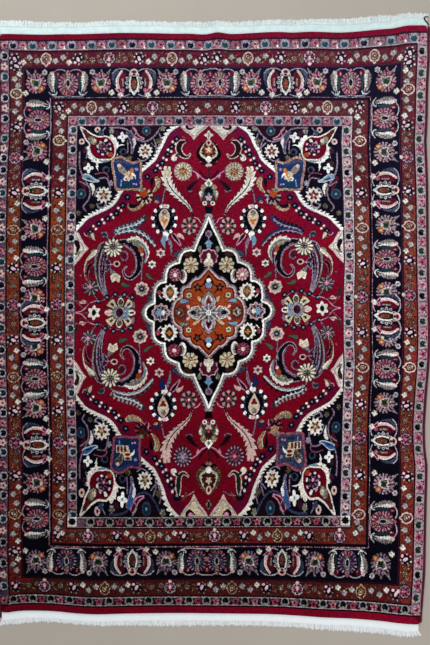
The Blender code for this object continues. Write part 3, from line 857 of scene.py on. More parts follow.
def lay_main_border():
    """The main border: palmettes first, then the cartouches over their leaves."""
    for side, across, text in MAIN_BORDERS:
        yarns = MAIN_YARNS[side]
        motifs = [(item[0], float(item[1:])) for item in text.split()]
        cartouches = [along for kind, along in motifs if kind in "AC"]
        for kind, along in motifs:
            if kind == "P":
                nearest = min(cartouches, key=lambda place: abs(place - along))
                lean = 1 if (nearest > along) else -1
                serrated_palmette(stripe_pen(side, along, across, 18), yarns, lean)
        for kind, along in motifs:
            if kind == "A":
                leaf_cartouche(stripe_pen(side, along, across, 30), yarns)
            elif kind == "B":
                flower_cartouche(stripe_pen(side, along, across, 30), yarns)
            elif kind == "C":
                double_cartouche(stripe_pen(side, along, across, 36), yarns)


GROUNDS = ("crimson", "cerise", "magenta", "garnet", "wine", "madder", "rust", "brick", "red",
           "copper", "russet", "tile")
UNLINED = GROUNDS + ("dark", "navy", "black", "umber", "brown", "plum", "olive", "terra", "green",
                     "teal")


def outline(part, yarn="dark"):
    """A one-knot line of dark yarn around everything light that lies on a red ground."""
    view = chart[part]
    light = ~np.isin(view, [YARN_CODE[name] for name in UNLINED])
    beside = np.zeros_like(light)
    beside[1:] |= light[:-1]
    beside[:-1] |= light[1:]
    beside[:, 1:] |= light[:, :-1]
    beside[:, :-1] |= light[:, 1:]
    view[beside & np.isin(view, [YARN_CODE[name] for name in GROUNDS])] = YARN_CODE[yarn]


# Yarns whose knots are not of one dye: the share of spots that differ and what they are.
MOTTLED = {
    "heather": (0.55, ("petal", "plum", "blush", "dusk")), "petal": (0.30, ("rose", "blush", "plum")),
    "rose": (0.25, ("petal", "plum")), "aster": (0.50, ("lilac", "plum", "slate")),
    "stone": (0.35, ("grey", "dove")), "mauve": (0.40, ("lilac", "plum", "heather")),
    "dusk": (0.30, ("mauve", "dove")), "orchid": (0.30, ("fog", "heather")),
    "dove": (0.25, ("dusk", "plum")), "camel": (0.25, ("cream", "umber")),
    "cream": (0.14, ("ivory", "camel")), "olive": (0.30, ("sage", "dark")),
    "sage": (0.30, ("fog", "olive")), "madder": (0.22, ("umber", "garnet", "plum")),
    "russet": (0.26, ("umber", "copper", "brick")), "copper": (0.24, ("russet", "terra", "umber")),
    "tile": (0.22, ("brick", "umber", "red")), "wine": (0.40, ("garnet", "madder", "brown")),
    "brick": (0.28, ("brown", "garnet", "umber")), "slate": (0.20, ("aster", "navy")),
    "umber": (0.25, ("camel", "brown")), "fog": (0.22, ("ivory", "lilac")),
    "grey": (0.25, ("fog", "stone")), "lilac": (0.20, ("fog", "dusk")),
    "ivory": (0.08, ("blush", "white")), "garnet": (0.05, ("wine", "crimson")),
}


def mottle():
    """Strews spots of near dyes, a chart unit square, over the yarns that are not of one dye."""
    dice = np.random.default_rng(29)
    spots = np.kron(dice.random((ROWS // 2, COLUMNS // 2)), np.ones((2, 2)))
    before = chart.copy()
    for yarn, (share, others) in MOTTLED.items():
        held = before == YARN_CODE[yarn]
        step = share / len(others)
        for k, other in enumerate(others):
            chart[held & (spots >= k * step) & (spots < (k + 1) * step)] = YARN_CODE[other]


def paint_borders():
    """Everything outside the field."""
    lay_stripes()
    lay_guards()
    lay_narrow_borders()
    lay_main_border()
    outline(chart_part(*BORDERS), "plum")


# ---- Field ----------------------------------------------------------------------------------

# How the lower half repeats the upper one: rows of (upper, lower) place.
LOWER = ((126.2, 516.1), (141.5, 492.0), (151, 479.0), (172, 456.7), (194, 431.5), (312.7, 312.7))


class QuarterPen(Pen):
    """Pen that draws one quarter; p and q read as places of the upper left quarter.

    With sx 0 it draws both sides alike, and p is the distance from the long axis.
    """

    def __init__(self, sx, sy, x0, y0, x1, y1, origin=(0.0, 0.0)):
        u = LEFT + (np.arange(COLUMNS) + 0.5) / KNOTS_PER_UNIT
        v = TOP + (np.arange(ROWS) + 0.5) / KNOTS_PER_UNIT
        if sx == 0:
            a = np.abs(u - MIDDLE_U)
        else:
            a = u if sx < 0 else 2 * MIDDLE_U - u
        b = v
        if sy > 0:
            upper, lower = zip(*LOWER[::-1])
            b = np.interp(v, lower, upper, left=FAR_OFF, right=-FAR_OFF)
        c = np.nonzero((a >= x0) & (a <= x1))[0]
        r = np.nonzero((b >= y0) & (b <= y1))[0]
        self.view = chart[r[0]:r[-1] + 1, c[0]:c[-1] + 1]
        self.p = a[c][None, :] - origin[0] + np.zeros((len(r), 1))
        self.q = b[r][:, None] - origin[1] + np.zeros((1, len(c)))
        self.only = None


class Quarter:
    """One quarter of the field: sx is -1 on the left, sy is -1 at the far end."""

    def __init__(self, sx, sy):
        self.sx, self.sy = sx, sy
        self.key = ("top" if sy < 0 else "bottom") + (" left" if sx < 0 else " right")

    def area(self, x0, y0, x1, y1):
        return QuarterPen(self.sx, self.sy, x0, y0, x1, y1)

    def at(self, x, y, reach):
        return QuarterPen(self.sx, self.sy, x - reach, y - reach, x + reach, y + reach, (x, y))

    def pick(self, **yarns):
        """The yarn given for this quarter, else the one for its end of the rug, else the other."""
        end_yarn = yarns.get(self.key.split()[0], yarns["other"])
        return yarns.get(self.key.replace(" ", "_"), end_yarn)


SPANDREL = ((76.4, 231), (82, 224.5), (88, 218.3), (95, 214.6), (101.5, 211.6), (108, 208.6),
            (113.8, 204.2), (118, 198.5), (121.5, 192), (130, 183), (142.6, 171), (149, 165.5),
            (155, 160), (159, 152), (163, 144.5), (166, 137.5), (169.5, 132.5), (173.5, 129.3),
            (178.5, 126.2))


def spandrel(q):
    """Corner medallion of the field, with its scalloped edge."""
    edge = FIELD[0] if q.sx < 0 else 2 * MIDDLE_U - FIELD[2]
    pen = q.area(edge, 126, 196, 246)
    d, t, _ = pen.trace(SPANDREL)
    corner = pen.inside(SPANDREL + ((edge - 1, 126.2), (edge - 1, 231)), curved=False)
    pen.lay(~corner & (d < 9.6), "magenta")
    pen.lay(corner, "navy")
    tooth = (t * 38) % 1.0
    pale = q.pick(bottom="ivory", other="white")
    pen.lay(corner & (d < 1.5 + 2.9 * (1 - tooth)), pale)
    pen.lay(~corner & (d < 0.7), "ivory")
    pen.only = corner & (d > 2.0)
    corner_vines(q, pen)
    pen.only = None
    boteh(pen)
    shield(q, pen)
    chain(q)


def leaf_fan(q, pen):
    """Broad pale leaf fan around the palmette."""
    for points, half, teeth in ((((87.4, 146), (88.6, 154), (95, 161.4), (106, 162)), 3.0, 6),
                                (((97.4, 160), (96.6, 166), (98, 171.6)), 1.8, 2),
                                (((109.6, 135), (115, 142), (117.4, 150), (116.4, 157)), 3.1, 5),
                                (((115, 146.4), (120, 145.6), (125.4, 144.6)), 1.8, 2)):
        pen.leaf(points, half, q.pick(bottom="ivory", other="white"), teeth=teeth, depth=0.6)
    for points in (((104.6, 127.6), (101.8, 131), (102.6, 134)),
                   ((84.6, 147), (86.6, 152), (85.4, 158)), ((79.6, 181.6), (83, 183), (86.4, 185.4)),
                   ((132, 127), (136, 131), (134.4, 135)), ((101, 203), (97.4, 205), (100, 208.6)),
                   ((151, 143), (157, 148), (160, 143)), ((100, 187), (96, 190.4), (94.6, 196)),
                   ((137.6, 158.6), (143, 161), (149, 157))):
        pen.line(points, "lilac", 0.9)
    pen.leaf(((100, 161.2), (105, 161.4), (110, 160.8)), 1.0, "sky")


def blue_leaves(q, pen):
    """Light blue leaves of the vines."""
    blue = q.pick(bottom="azure", other="slate")
    pen.leaf(((127, 131), (131, 138), (132.5, 146), (131.5, 154)), 2.2, blue, rim="mauve")
    pen.leaf(((82, 176), (88, 177.5), (94, 180.5), (99, 181)), 2.4,
             q.pick(bottom="azure", other="sky"), rim="ice")
    pen.leaf(((86, 178), (90, 179), (94, 180.6)), 1.0, "teal")
    pen.leaf(((133, 138), (134.5, 144), (132, 149)), 1.5, "ivory")
    pen.leaf(((90, 183), (93, 188), (92, 196)), 1.8, "ivory")


def plum_leaves(pen):
    """Dark plum leaves beside the cartouche."""
    for x, y in ((122, 151), (105, 169)):
        pen.oval(x, y, 6.0, 5.6, "black")
        pen.oval(x + 0.6, y + 0.6, 3.6, 3.4, "slate")
        pen.oval(x + 1.0, y + 1.0, 2.2, 2.2, "navy")
    pen.line(((95, 174), (102, 172.6), (107, 174.4), (108, 178)), "rose", 1.1)
    pen.line(((98, 178.6), (106, 178), (109, 184), (110, 189)), "mauve", 1.4)
    pen.line(((127, 141), (127.6, 148), (127, 153)), "mauve", 1.2)
    pen.line(((97, 204), (99, 207.6), (104, 207), (106, 203)), "lilac", 1.6)
    pen.line(((153, 139), (156, 146), (155, 153)), "mauve", 1.3)
    pen.line(((159, 134), (161, 140), (159.5, 147)), "mauve", 1.2)


def corner_rosettes(q, pen):
    """The two rosettes of a corner medallion."""
    for x, y, r in ((145, 151, 7.6), (103.6, 195, 8.4)):
        pen.flower(x, y, r, 11, 0.26, "ivory")
        pen.flower(x, y, r * 0.62, 5, 0.4, q.pick(top_right="rose", other="camel"))
        pen.rays(x, y, r * 0.2, r * 0.62, 5, 0.22, "brown")
        pen.oval(x, y, 1.0, 1.0, "cream")


def rings_and_florets(pen):
    """Small rings and florets."""
    for x, y in ((96.6, 129.6), (80.8, 141.4)):
        pen.oval(x, y, 3.0, 3.0, "blush")
        pen.oval(x, y, 1.2, 1.2, "dark")
    for x, y, phase in ((122, 137, 0.6), (88, 168, 0.2)):
        pen.flower(x, y, 5.2, 4, 0.5, "white", phase=phase)
        pen.oval(x, y, 1.0, 1.2, "sky")
    for x, y, yarn in ((116, 133, "plum"), (84.5, 163, "brown"), (111, 131, "sage"),
                       (100, 132.5, "slate"), (129, 157.6, "olive"), (92, 206, "olive"),
                       (110.5, 183, "lilac"), (137, 146.5, "navy"), (162.5, 128.5, "sage"),
                       (78.5, 213, "olive"), (158.5, 141, "olive"), (84, 150.5, "plum")):
        pen.flower(x, y, 3.0, 5, 0.3, yarn)


def corner_vines(q, pen):
    """Vines of a corner medallion, and the leaves and flowers on them."""
    pen.line(((109, 127.5), (118, 127.6), (126, 129.5), (132, 135.5), (139, 140.6), (147, 141),
              (154, 136), (160, 128)), q.pick(bottom="slate", other="mauve"), 1.6)
    pen.shape(((131, 127), (135, 133), (141, 137.5), (149, 137.5), (155, 131), (158, 127)), "dark")
    pen.leaf(((131, 129), (137, 136.5), (144, 139)), 1.6, "wine", rim="pink")
    pen.line(((79.0, 152), (78.6, 162), (80.5, 172), (85.5, 181), (89.8, 190), (88.5, 199),
              (83.4, 206.4), (86, 211)), "mauve", 1.5)
    pen.leaf(((79, 176), (83, 184), (85, 193)), 2.0, "wine", rim="plum")
    for x, y, r in ((146, 131, 4.7), (81, 193.7, 5.2)):
        pen.oval(x, y, r, r, "slate")
        pen.oval(x, y, r - 1.3, r - 1.3, "teal")
        pen.oval(x, y, 1.2, 1.2, "sky")
    leaf_fan(q, pen)
    blue_leaves(q, pen)
    plum_leaves(pen)
    corner_rosettes(q, pen)
    rings_and_florets(pen)


def boteh(pen):
    """The drop-shaped cartouche in a corner, with a flower in it."""
    ring = ((79.2, 126.8), (85, 130.2), (91, 134), (98, 136.6), (106, 136.4), (112, 141), (114.6, 148),
            (114, 155), (110.5, 159.2), (103, 159.6), (96, 158.8), (91, 154.5), (88.6, 148.5),
            (88.4, 143.5), (84.4, 138.5), (82, 133))
    pen.shape(ring, "garnet", "ivory", 1.4)
    pen.leaf(((82, 130), (86, 134), (90, 138)), 2.0, "brick")
    pen.shape(((87, 138), (91, 136.2), (96, 140.5), (94.5, 144.5), (90, 143)), "sage")
    pen.oval(93.4, 140.5, 2.2, 2.0, "cream")
    x, y = 103.4, 147.6
    pen.flower(x, y, 8.8, 9, 0.16, "navy")
    pen.flower(x, y, 6.0, 7, 0.3, "plum", phase=0.5)
    for k in range(8):
        turn = math.radians(45 * k + 12)
        pen.oval(x + 6.8 * math.sin(turn), y - 6.8 * math.cos(turn), 1.5, 1.0,
                 ("ivory", "pink")[k % 2], 45 * k)
    pen.rays(x, y, 2.2, 4.6, 7, 0.2, "mauve")
    pen.line(((x - 5.4, y + 1), (x - 5.0, y - 3.6), (x - 1, y - 5.2)), "fog", 0.9)
    pen.oval(x + 0.4, y + 1.2, 1.2, 1.2, "pink")
    pen.oval(110, 154.6, 2.6, 2.4, "terra")
    pen.oval(105.5, 139.8, 1.6, 1.2, "ivory")


def shield(q, pen):
    """The small blue shield beside it."""
    ring = ((112.4, 160.8), (119.5, 157), (126, 159.8), (132.5, 163), (139.6, 161.6), (141, 168),
            (140.4, 178), (140.4, 188.6), (131, 189.2), (121, 189.8), (115.6, 188), (114.8, 180),
            (113, 171))
    lower = "bottom" in q.key
    pen.shape(ring, q.pick(bottom_right="slate", other="blue"), "rose" if lower else "camel", 2.4)
    pen.line(ring, "dusk" if lower else "petal", 0.8, closed=True)
    pen.leaf(((115, 162), (120, 160.6), (126, 163), (131, 166)), 1.6, "slate")
    if lower:
        pen.leaf(((116.8, 166), (121, 170), (123, 176)), 2.6, "olive", rim="sage")
        pen.oval(118.4, 165.4, 1.8, 1.8, "blush")
        pen.shape(((117.4, 182.4), (129.4, 182), (132.6, 169), (125.4, 169), (123.6, 175.4),
                   (117.6, 176)), "cream", curved=False)
        for x in (119.4, 122.8, 126.2):
            pen.oval(x, 179, 1.2, 3.0, "red")
        for y in (170.6, 174.2):
            pen.oval(128.6, y, 2.8, 1.3, "red")
    else:
        pen.leaf(((118.5, 166), (122, 170), (126, 175), (127, 180)), 2.2, "stone", rim="camel")
        pen.oval(118.8, 165.6, 1.9, 1.9, "blush")
        pen.flower(128.4, 176.0, 5.2, 6, 0.3, "cream")
        pen.leaf(((132.4, 168), (131, 173), (128.4, 178)), 1.8, "orange")
        pen.oval(125.4, 178.6, 2.2, 2.2, "ivory")
        pen.oval(126.0, 179, 1.1, 1.1, "terra")
    pen.leaf(((131.4, 173), (134.6, 176), (135.4, 179)), 1.2, "white")
    pen.oval(136.4, 169.4, 1.7, 1.5, "lilac")
    pen.line(((121.4, 180), (120.6, 186)), "sky", 1.2)
    pen.dots(((133.5, 184), (136, 184.4)), 0.9, "pink")
    pen.leaf(((124, 184.6), (129, 185.6), (134, 186)), 1.5, "teal")


CHAIN = ((176.5, 139.4), (171.6, 147), (167.4, 154.6), (162, 163.4), (155.4, 170.6), (147.2, 176.8),
         (127.4, 197.2), (122.8, 205.4), (116.4, 213.2), (107.8, 218.8), (99, 223.6), (90.6, 231.6))


def chain(q):
    """Chain of navy flowers along the corner medallion's edge."""
    for k, (x, y) in enumerate(CHAIN):
        pen = q.at(x, y, 5)
        pen.flower(0, 0, 3.7, 5, 0.3, "navy")
        pen.oval(0, 0, 0.9, 0.9, "sky")
    for k in (0, 1, 2, 3, 7, 8, 9, 10):
        (x0, y0), (x1, y1) = CHAIN[k], CHAIN[k + 1]
        mx, my, dx, dy = (x0 + x1) / 2, (y0 + y1) / 2, (x1 - x0), (y1 - y0)
        n = math.hypot(dx, dy)
        pen = q.at(mx, my, 5)
        pen.dots(((-dy / n * 1.9, dx / n * 1.9), (dy / n * 1.9, -dx / n * 1.9)), 1.25, "ivory")
    pen = q.area(84, 228, 98, 242)
    pen.leaf(((92, 233), (94, 238), (96, 240.5)), 1.7, "blush")
    pen.leaf(((88, 233), (90.5, 237), (95, 240.6)), 1.3, "olive")
    pen.line(((84.6, 233), (86, 235.6), (88, 236)), "pink", 0.9)


def lappets(q):
    """Scalloped pale tabs that grow in from the field's edges."""
    pen = q.area(174, 126, 209, 142)
    ring = ((178.6, 124), (186, 131.6), (190, 134), (192.4, 137), (193.8, 139.2), (195.4, 137),
            (198.6, 133.4), (203.6, 129.6), (208.4, 124.6))
    pen.shape(ring, q.pick(bottom="cream", other="ivory"), "blush", 1.8, curved=False)
    pen.line(((181, 128), (188, 131.8), (193.8, 136.4), (199, 131.6), (205, 127)), "grey", 1.0)
    pen.leaf(((185.5, 126.5), (190, 128.8), (196, 126.5)), 2.0, "dark")
    pen.oval(190.6, 127.0, 2.4, 1.5, "pink")
    pen = q.area(75, 229, 92, 267)
    ring = ((74, 231), (79, 233.4), (81.8, 239), (85, 244.8), (88.8, 248.6), (84.4, 253), (80, 259.4),
            (74, 266))
    pen.shape(ring, "ivory", "blush", 1.6, curved=False)
    pen.line(((76.5, 235), (80.4, 241.6), (84.8, 248.4), (80.4, 254.4), (76.5, 259.5)), "grey", 1.1)
    pen.leaf(((76.2, 240), (79.4, 247.4), (77, 255)), 2.4, q.pick(top="dark", other="brown"))
    pen.leaf(((76, 254), (80, 253), (83, 250)), 1.4, "sage")


def broad_leaf(q):
    """Broad serrated leaf."""
    pen = q.area(156, 160, 204, 224)
    spine = ((167.4, 166.5), (166.4, 178), (171, 188.5), (180, 198), (189, 207), (194.4, 219.5))
    pen.leaf(spine, 6.0, q.pick(top="ivory", other="blush"), teeth=12, depth=0.5, blunt=0.4)
    pen.line(spine, "black", 1.0)
    pen.oval(167.6, 173.6, 3.4, 5.0, q.pick(bottom="blush", other="cream"))
    pen.line(((165.2, 189), (163.4, 196), (162, 207)), "mauve", 1.3)
    pen.line(((194.4, 217.5), (198, 219), (200.5, 222.4)), "pink", 1.0)


def chrysanthemum(q):
    """Full round flower of many petals."""
    pen = q.at(183, 171.6, 12)
    pen.flower(0, 0, 10.0, 15, 0.2, q.pick(bottom="dove", other="cream"))
    pen.rays(0, 0, 4.6, 9.8, 15, 0.22, q.pick(bottom="madder", other="olive"))
    pen.rays(0, 0, 7.0, 9.0, 15, 0.2, "pink", phase=math.pi)
    pen.flower(0, 0, 5.4, 8, 0.26, q.pick(bottom_left="lilac", bottom_right="rose", other="camel"))
    pen.rays(0, 0, 1.4, 4.4, 6, 0.2, "brown")
    pen.oval(0, 0, 1.5, 1.5, q.pick(bottom="pink", other="orange"))


def crescent(q):
    """Crescent with pink rim and a small bud."""
    pen = q.area(168, 136, 195, 164)
    if "bottom" in q.key:
        pen.line(((178, 132), (178.2, 140)), "mauve", 0.9)
        pen.leaf(((178.4, 139.4), (178.4, 147), (179.6, 153.6), (184, 156.8), (189, 153)), 2.2,
                 "green", rim="blush", blunt=0.6)
        pen.leaf(((173.4, 138), (178, 137), (183, 139)), 1.6, "dark")
        pen.line(((182, 139), (188, 139.6), (194, 142)), "petal", 1.0)
    else:
        pen.leaf(((185.5, 141.6), (180.6, 143.4), (178.6, 149), (181.4, 155), (187, 157.4),
                  (190.6, 153.6)), 2.6, "dark", rim="blush", blunt=0.6)
    pen.line(((183, 137), (186, 140.5)), "olive", 1.4)
    pen.leaf(((173, 161), (174.6, 157), (178.6, 153)), 2.9, "ivory")
    pen.leaf(((175.5, 157), (177.6, 155), (179.6, 152)), 1.5, "green")


def axis_branch(q):
    """Branch from the axis."""
    pen = q.area(184, 168, 208, 194)
    pen.line(((206.5, 180.6), (202, 178.4), (198, 174.4), (193, 171)), "pink", 1.0)
    pen.line(((207, 178.6), (202.4, 175), (199.6, 171)), "dark", 1.5)
    pen.leaf(((196.6, 174.6), (198.6, 177), (197, 179)), 1.2, "pink")
    pen.leaf(((187.6, 190), (190.8, 186.5), (194.6, 183), (199, 180.6)), 2.4, "dark", rim="wine",
             teeth=4)
    pen.line(((186.4, 190.6), (190.4, 191.8), (193, 190)), "mauve", 0.9)


def fan_palmette(q):
    """Fan palmette with its crescent, and a bud."""
    pen = q.area(124, 176, 166, 214)
    pen.flower(144.4, 197, 8.6, 11, 0.24, "dark")
    pen.rays(144.4, 196.4, 4.0, 8.2, 9, 0.36, q.pick(top_left="cream", top_right="lilac", other="rose"))
    pen.flower(143.8, 193.2, 4.9, 6, 0.24,
               q.pick(bottom_left="brick", bottom_right="camel", other="terra"))
    pen.oval(142, 189.8, 2.6, 2.0, "sage")
    pen.leaf(((127.6, 204.6), (133, 208.2), (140, 206.6), (146.6, 201)), 3.0, "camel")
    pen.leaf(((128.6, 204.6), (134, 206.4), (140.6, 203.4)), 2.1, q.pick(bottom="sage", other="navy"))
    pen.leaf(((152.6, 177.6), (151.6, 184), (152.2, 190)), 1.9, "navy")
    pen.leaf(((155.6, 177), (158.4, 182.6), (156.6, 189), (153, 193)), 2.5, "camel")
    pen.line(((155, 179), (156, 185), (152.6, 192.4)), "cream", 0.8)
    pen.line(((149.6, 197), (150, 203)), "pink", 1.0)
    pen.flower(157.6, 199.4, 3.4, 4, 0.3, "blue")
    pen.oval(156.6, 202, 2.2, 1.5, "camel")


def egg_palmette(q):
    """Egg-shaped palmette."""
    pen = q.at(164.4, 220, 19)
    pen.flower(0, 0, 13.4, 11, 0.24, "white", squash=1.17, phase=math.pi)
    pen.oval(0, -0.5, 11.4, 14.2, q.pick(top="black", other="slate"))
    pen.flower(0, 0, 12.4, 11, 0.3, "black", squash=1.17)
    pen.rays(0, 0, 10.2, 13.2, 11, 0.34, "white", squash=1.17, phase=math.pi)
    pen.rays(0, 0, 8.0, 10.8, 11, 0.16, "slate", squash=1.17)
    pen.oval(0, -1, 8.0, 11.4, "black")
    pen.leaf(((0, -11.4), (0, -1), (0, 10.4)), 5.4, "blush", blunt=0.7)
    pen.leaf(((0, -9.4), (0, -1), (0, 8.4)), 4.2, "cream", blunt=0.7)
    pen.oval(0, -7.0, 2.6, 3.0, "sage")
    pen.flower(0, 1.4, 3.6, 3, 0.5, q.pick(bottom="red", other="orange"), phase=math.pi)
    pen.oval(0.6, -13.6, 2.4, 2.0, "blush")
    pen.oval(1.2, 12.6, 1.6, 2.0, "blush")


def forked_leaves(q):
    """Forked leaves below the egg-shaped palmette, and two white florets."""
    pen = q.area(148, 230, 188, 272)
    pen.leaf(((166, 232), (166.2, 236.5), (167, 241)), 2.9, "white")
    pen.leaf(((165.6, 236), (163.4, 242), (165.8, 249)), 2.6, q.pick(bottom="blue", other="sky"))
    pen.leaf(((168, 238), (170.6, 244), (171.4, 250), (171.6, 257)), 1.7, "mauve")
    pen.leaf(((172.6, 234), (177, 240), (181, 246)), 1.5, "dark", rim="pink")
    pen.leaf(((177.4, 234.6), (181.6, 236.6), (184.6, 240)), 2.1, "blush")
    for x, y, r, yarn in ((161, 253, 4.8, "blush"), (152.4, 264.4, 4.2, "ivory")):
        pen.flower(x, y, r, 6, 0.32, yarn)
        pen.flower(x, y, r * 0.45, 4, 0.3, "dove")


def grey_rosette(q):
    """Grey rosette."""
    pen = q.at(189.4, 226, 10)
    pen.flower(0, 0, 8.2, 8, 0.18, "grey", squash=1.08)
    pen.flower(0, 0, 7.0, 8, 0.22, "olive", squash=1.08)
    pen.rays(0, 0, 2.4, 7.2, 8, 0.3, "dark", phase=math.pi)
    pen.rays(0, 0, 5.0, 7.6, 8, 0.24, "pink")
    pen.flower(0, 0, 3.2, 5, 0.3, "rose")
    pen.oval(0, 0, 1.1, 1.1, "ivory")


def field_flowers(q):
    """Flowers between the medallion, the spandrel and the field's far or near edge."""
    broad_leaf(q)
    chrysanthemum(q)
    crescent(q)
    axis_branch(q)
    fan_palmette(q)
    egg_palmette(q)
    forked_leaves(q)
    grey_rosette(q)


FEATHER_BARS = 9


def feather(pen, points, half, bars, gaps, under, rib):
    """Feathered branch: bars stand out on one side of the rib, a toothed band is on the other."""
    close = pen.near(points, half + 4)
    d, t, side = close.trace(points)
    reach = half * (1 - 0.35 * np.abs(2 * t - 1) ** 2)
    held = (t > 0.002) & (t < 0.998)
    step = (t * FEATHER_BARS) % 1.0
    out = side < 0
    close.lay(held & out & (d <= reach * 0.62), gaps)
    close.lay(held & out & (d <= reach) & (step < 0.5), bars)
    close.lay(held & ~out & (d <= reach * 0.85 * (1 - 0.45 * step)), under)
    close.lay(held & ~out & (d <= reach * 0.4) & (step > 0.6), rib)
    close.lay(held & (d <= 0.5), rib)


def feather_branches(q, pen):
    """Feather branches."""
    bars = q.pick(top_left="teal", top_right="navy", other="grey")
    gaps = q.pick(top_left="grey", top_right="blue", other="wine")
    under = q.pick(top_left="slate", top_right="blue", bottom_left="dove", other="dark")
    rib = q.pick(top_right="orchid", other="ice")
    upper = ((114.6, 233.4), (119.6, 229.4), (126, 227.4), (134.6, 225), (141, 221.4), (146, 216.4))
    lower = ((115.4, 234.6), (123, 232), (132, 230.8), (141, 233), (148.4, 238.4), (155.6, 246.6))
    feather(pen, upper, 4.6, bars, gaps, under, rib)
    feather(pen, lower, 3.6, under, gaps, bars, rib)
    pen.oval(145.4, 217.6, 1.9, 2.1, q.pick(top_right="blue", other="teal"))
    pen.leaf(((102, 235), (105.4, 234.4), (108, 237)), 2.0, "teal", rim="mauve")
    pen.line(((107, 237.5), (111.6, 240), (114.6, 236.4), (119, 233)), "mauve", 0.9)


def long_leaves(pen):
    """Long curved leaves."""
    outer = ((111, 243.6), (103, 246), (99, 256), (97.8, 270), (100.4, 285), (106, 297))
    pen.leaf(outer, 2.3, "plum", rim="lilac", blunt=0.4)
    pen.line([(x - 1.4, y) for x, y in outer[1:-1]], "sage", 1.3)
    inner = ((107.6, 250), (104.6, 258), (103, 268), (103.2, 280), (107.6, 296))
    pen.leaf(inner, 3.0, "navy", other="plum", rim="lilac", teeth=9, depth=0.35, blunt=0.5)
    pen.line(inner, "mauve", 0.9)
    pen.leaf(((106.4, 260), (109.4, 265), (106.8, 272)), 1.9, "plum", rim="mauve")


def cream_rosette(pen):
    """Cream rosette between the feather branches and the long leaves."""
    pen.flower(113.8, 247.8, 9.4, 13, 0.24, "cream")
    pen.rays(113.8, 247.8, 4.0, 9.6, 13, 0.24, "green", phase=math.pi)
    pen.rays(113.8, 247.8, 4.6, 9.0, 13, 0.2, "ivory")
    pen.flower(113.8, 246.8, 4.6, 6, 0.3, "dark")
    pen.rays(113.8, 246.8, 1.0, 4.6, 6, 0.24, "grey")


def c_scroll(pen):
    """Dark C-scroll and its many-coloured leaf."""
    pen.leaf(((119.6, 242), (128, 243.4), (136.4, 250), (140, 260), (138.6, 270.6), (132, 278),
              (126.4, 277), (124, 271), (127.4, 266)), 3.3, "navy", rim="orchid", blunt=0.45)
    pen.leaf(((124, 243.5), (132.6, 250), (136, 258), (135.6, 268), (130, 275)), 1.5, "mauve",
             teeth=11, depth=0.7)
    pen.leaf(((127, 241), (137, 239.6), (145, 245.4), (148.4, 254), (145, 264.4)), 4.0, "ivory",
             other="sage", teeth=9, depth=0.45, blunt=0.5)
    pen.line(((138, 243), (144, 248), (146.6, 255), (145, 262)), "sky", 0.9)
    pen.leaf(((133, 243.6), (140, 245.6), (143.6, 252)), 1.9, "sage")
    pen.oval(141, 249.4, 2.4, 3.2, "terra")
    pen.oval(142.4, 254.4, 1.6, 1.7, "blush")
    pen.line(((141.4, 262), (142.2, 272), (141.4, 283)), "mauve", 1.0)


def curl_and_bud(pen):
    """Curl, loop and bud."""
    pen.line(((122, 250.4), (127, 252.6), (128.4, 257.6), (124.6, 260.6), (121.4, 257.6)), "mauve", 1.2)
    pen.oval(124.6, 256, 1.8, 2.6, "plum")
    pen.oval(117.4, 263.8, 3.4, 3.0, "blush")
    pen.oval(117.6, 263.8, 2.1, 1.9, "dark")
    pen.line(((109, 264.5), (114, 264.4)), "pink", 0.8)
    pen.shape(((110.2, 267.6), (119, 274), (112, 278)), "stone", curved=False)
    pen.shape(((111.4, 276), (116, 273.6), (120.6, 276.4), (119.4, 282), (116, 279.6), (113, 282)),
              "cream", "ivory", 0.9, curved=False)


def green_leaves(pen):
    """Green leaves and the pink rosette."""
    pen.leaf(((121.6, 283.4), (126.4, 285.8), (131.6, 286)), 2.0, "moss")
    pen.leaf(((146.6, 273.6), (150, 277.4), (155, 280)), 1.8, "moss")
    pen.flower(142.3, 289, 7.4, 8, 0.14, "blush")
    pen.flower(142.3, 289, 5.2, 8, 0.26, "sage")
    pen.oval(142.3, 289, 2.8, 2.8, "navy")
    pen.oval(142.3, 288.8, 1.2, 1.2, "lilac")


def edge_leaves(pen):
    """Pale leaf and grey rosette by the field's edge."""
    pen.leaf(((97, 249.6), (93, 254.6), (89, 261)), 2.9, "ivory", other="sage")
    pen.leaf(((96, 251), (88.6, 259), (85.8, 268), (86.4, 277), (90.6, 284)), 1.1, "cream", blunt=0.3)
    pen.leaf(((94.6, 263), (90, 266.6), (88.4, 274), (90, 281)), 1.4, "dark", rim="rose")
    pen.leaf(((94, 268), (92.4, 274), (94.6, 280)), 2.0, "wine")
    pen.flower(91.8, 288, 7.8, 9, 0.2, "dove", squash=1.02)
    pen.rays(91.8, 288, 2.6, 7.6, 9, 0.3, "black")
    pen.rays(91.8, 288, 3.0, 7.4, 9, 0.16, "grey", phase=1.4)
    pen.flower(91, 287, 2.6, 4, 0.4, "pink")
    pen.dots(((82, 275.6), (84, 285.6)), 1.3, "rose")


def blue_chain(pen):
    """Chain of blue dots towards the cross axis."""
    for x, y in ((99.4, 301.2), (107.8, 297.2), (116, 294.2), (124.8, 294.6), (132.8, 297.4)):
        pen.flower(x, y, 3.1, 5, 0.24, "navy")
        pen.oval(x, y, 1.15, 1.15, "sky")
    for a, b in (((95, 295), (98, 299)), ((102, 301), (106, 299)), ((111, 299), (113.4, 296.4)),
                 ((118.6, 296), (122.4, 296.4)), ((127, 296), (130.4, 298.4))):
        pen.line((a, b), "mauve", 0.9)
    pen.leaf(((76.8, 292), (78.6, 298), (80, 304)), 1.4, "green")
    pen.shape(((80.6, 302), (85, 299.6), (89.6, 303), (84.6, 308.6)), "blush", curved=False)
    pen.shape(((84.6, 304), (91, 302), (85.6, 308)), "slate", curved=False)


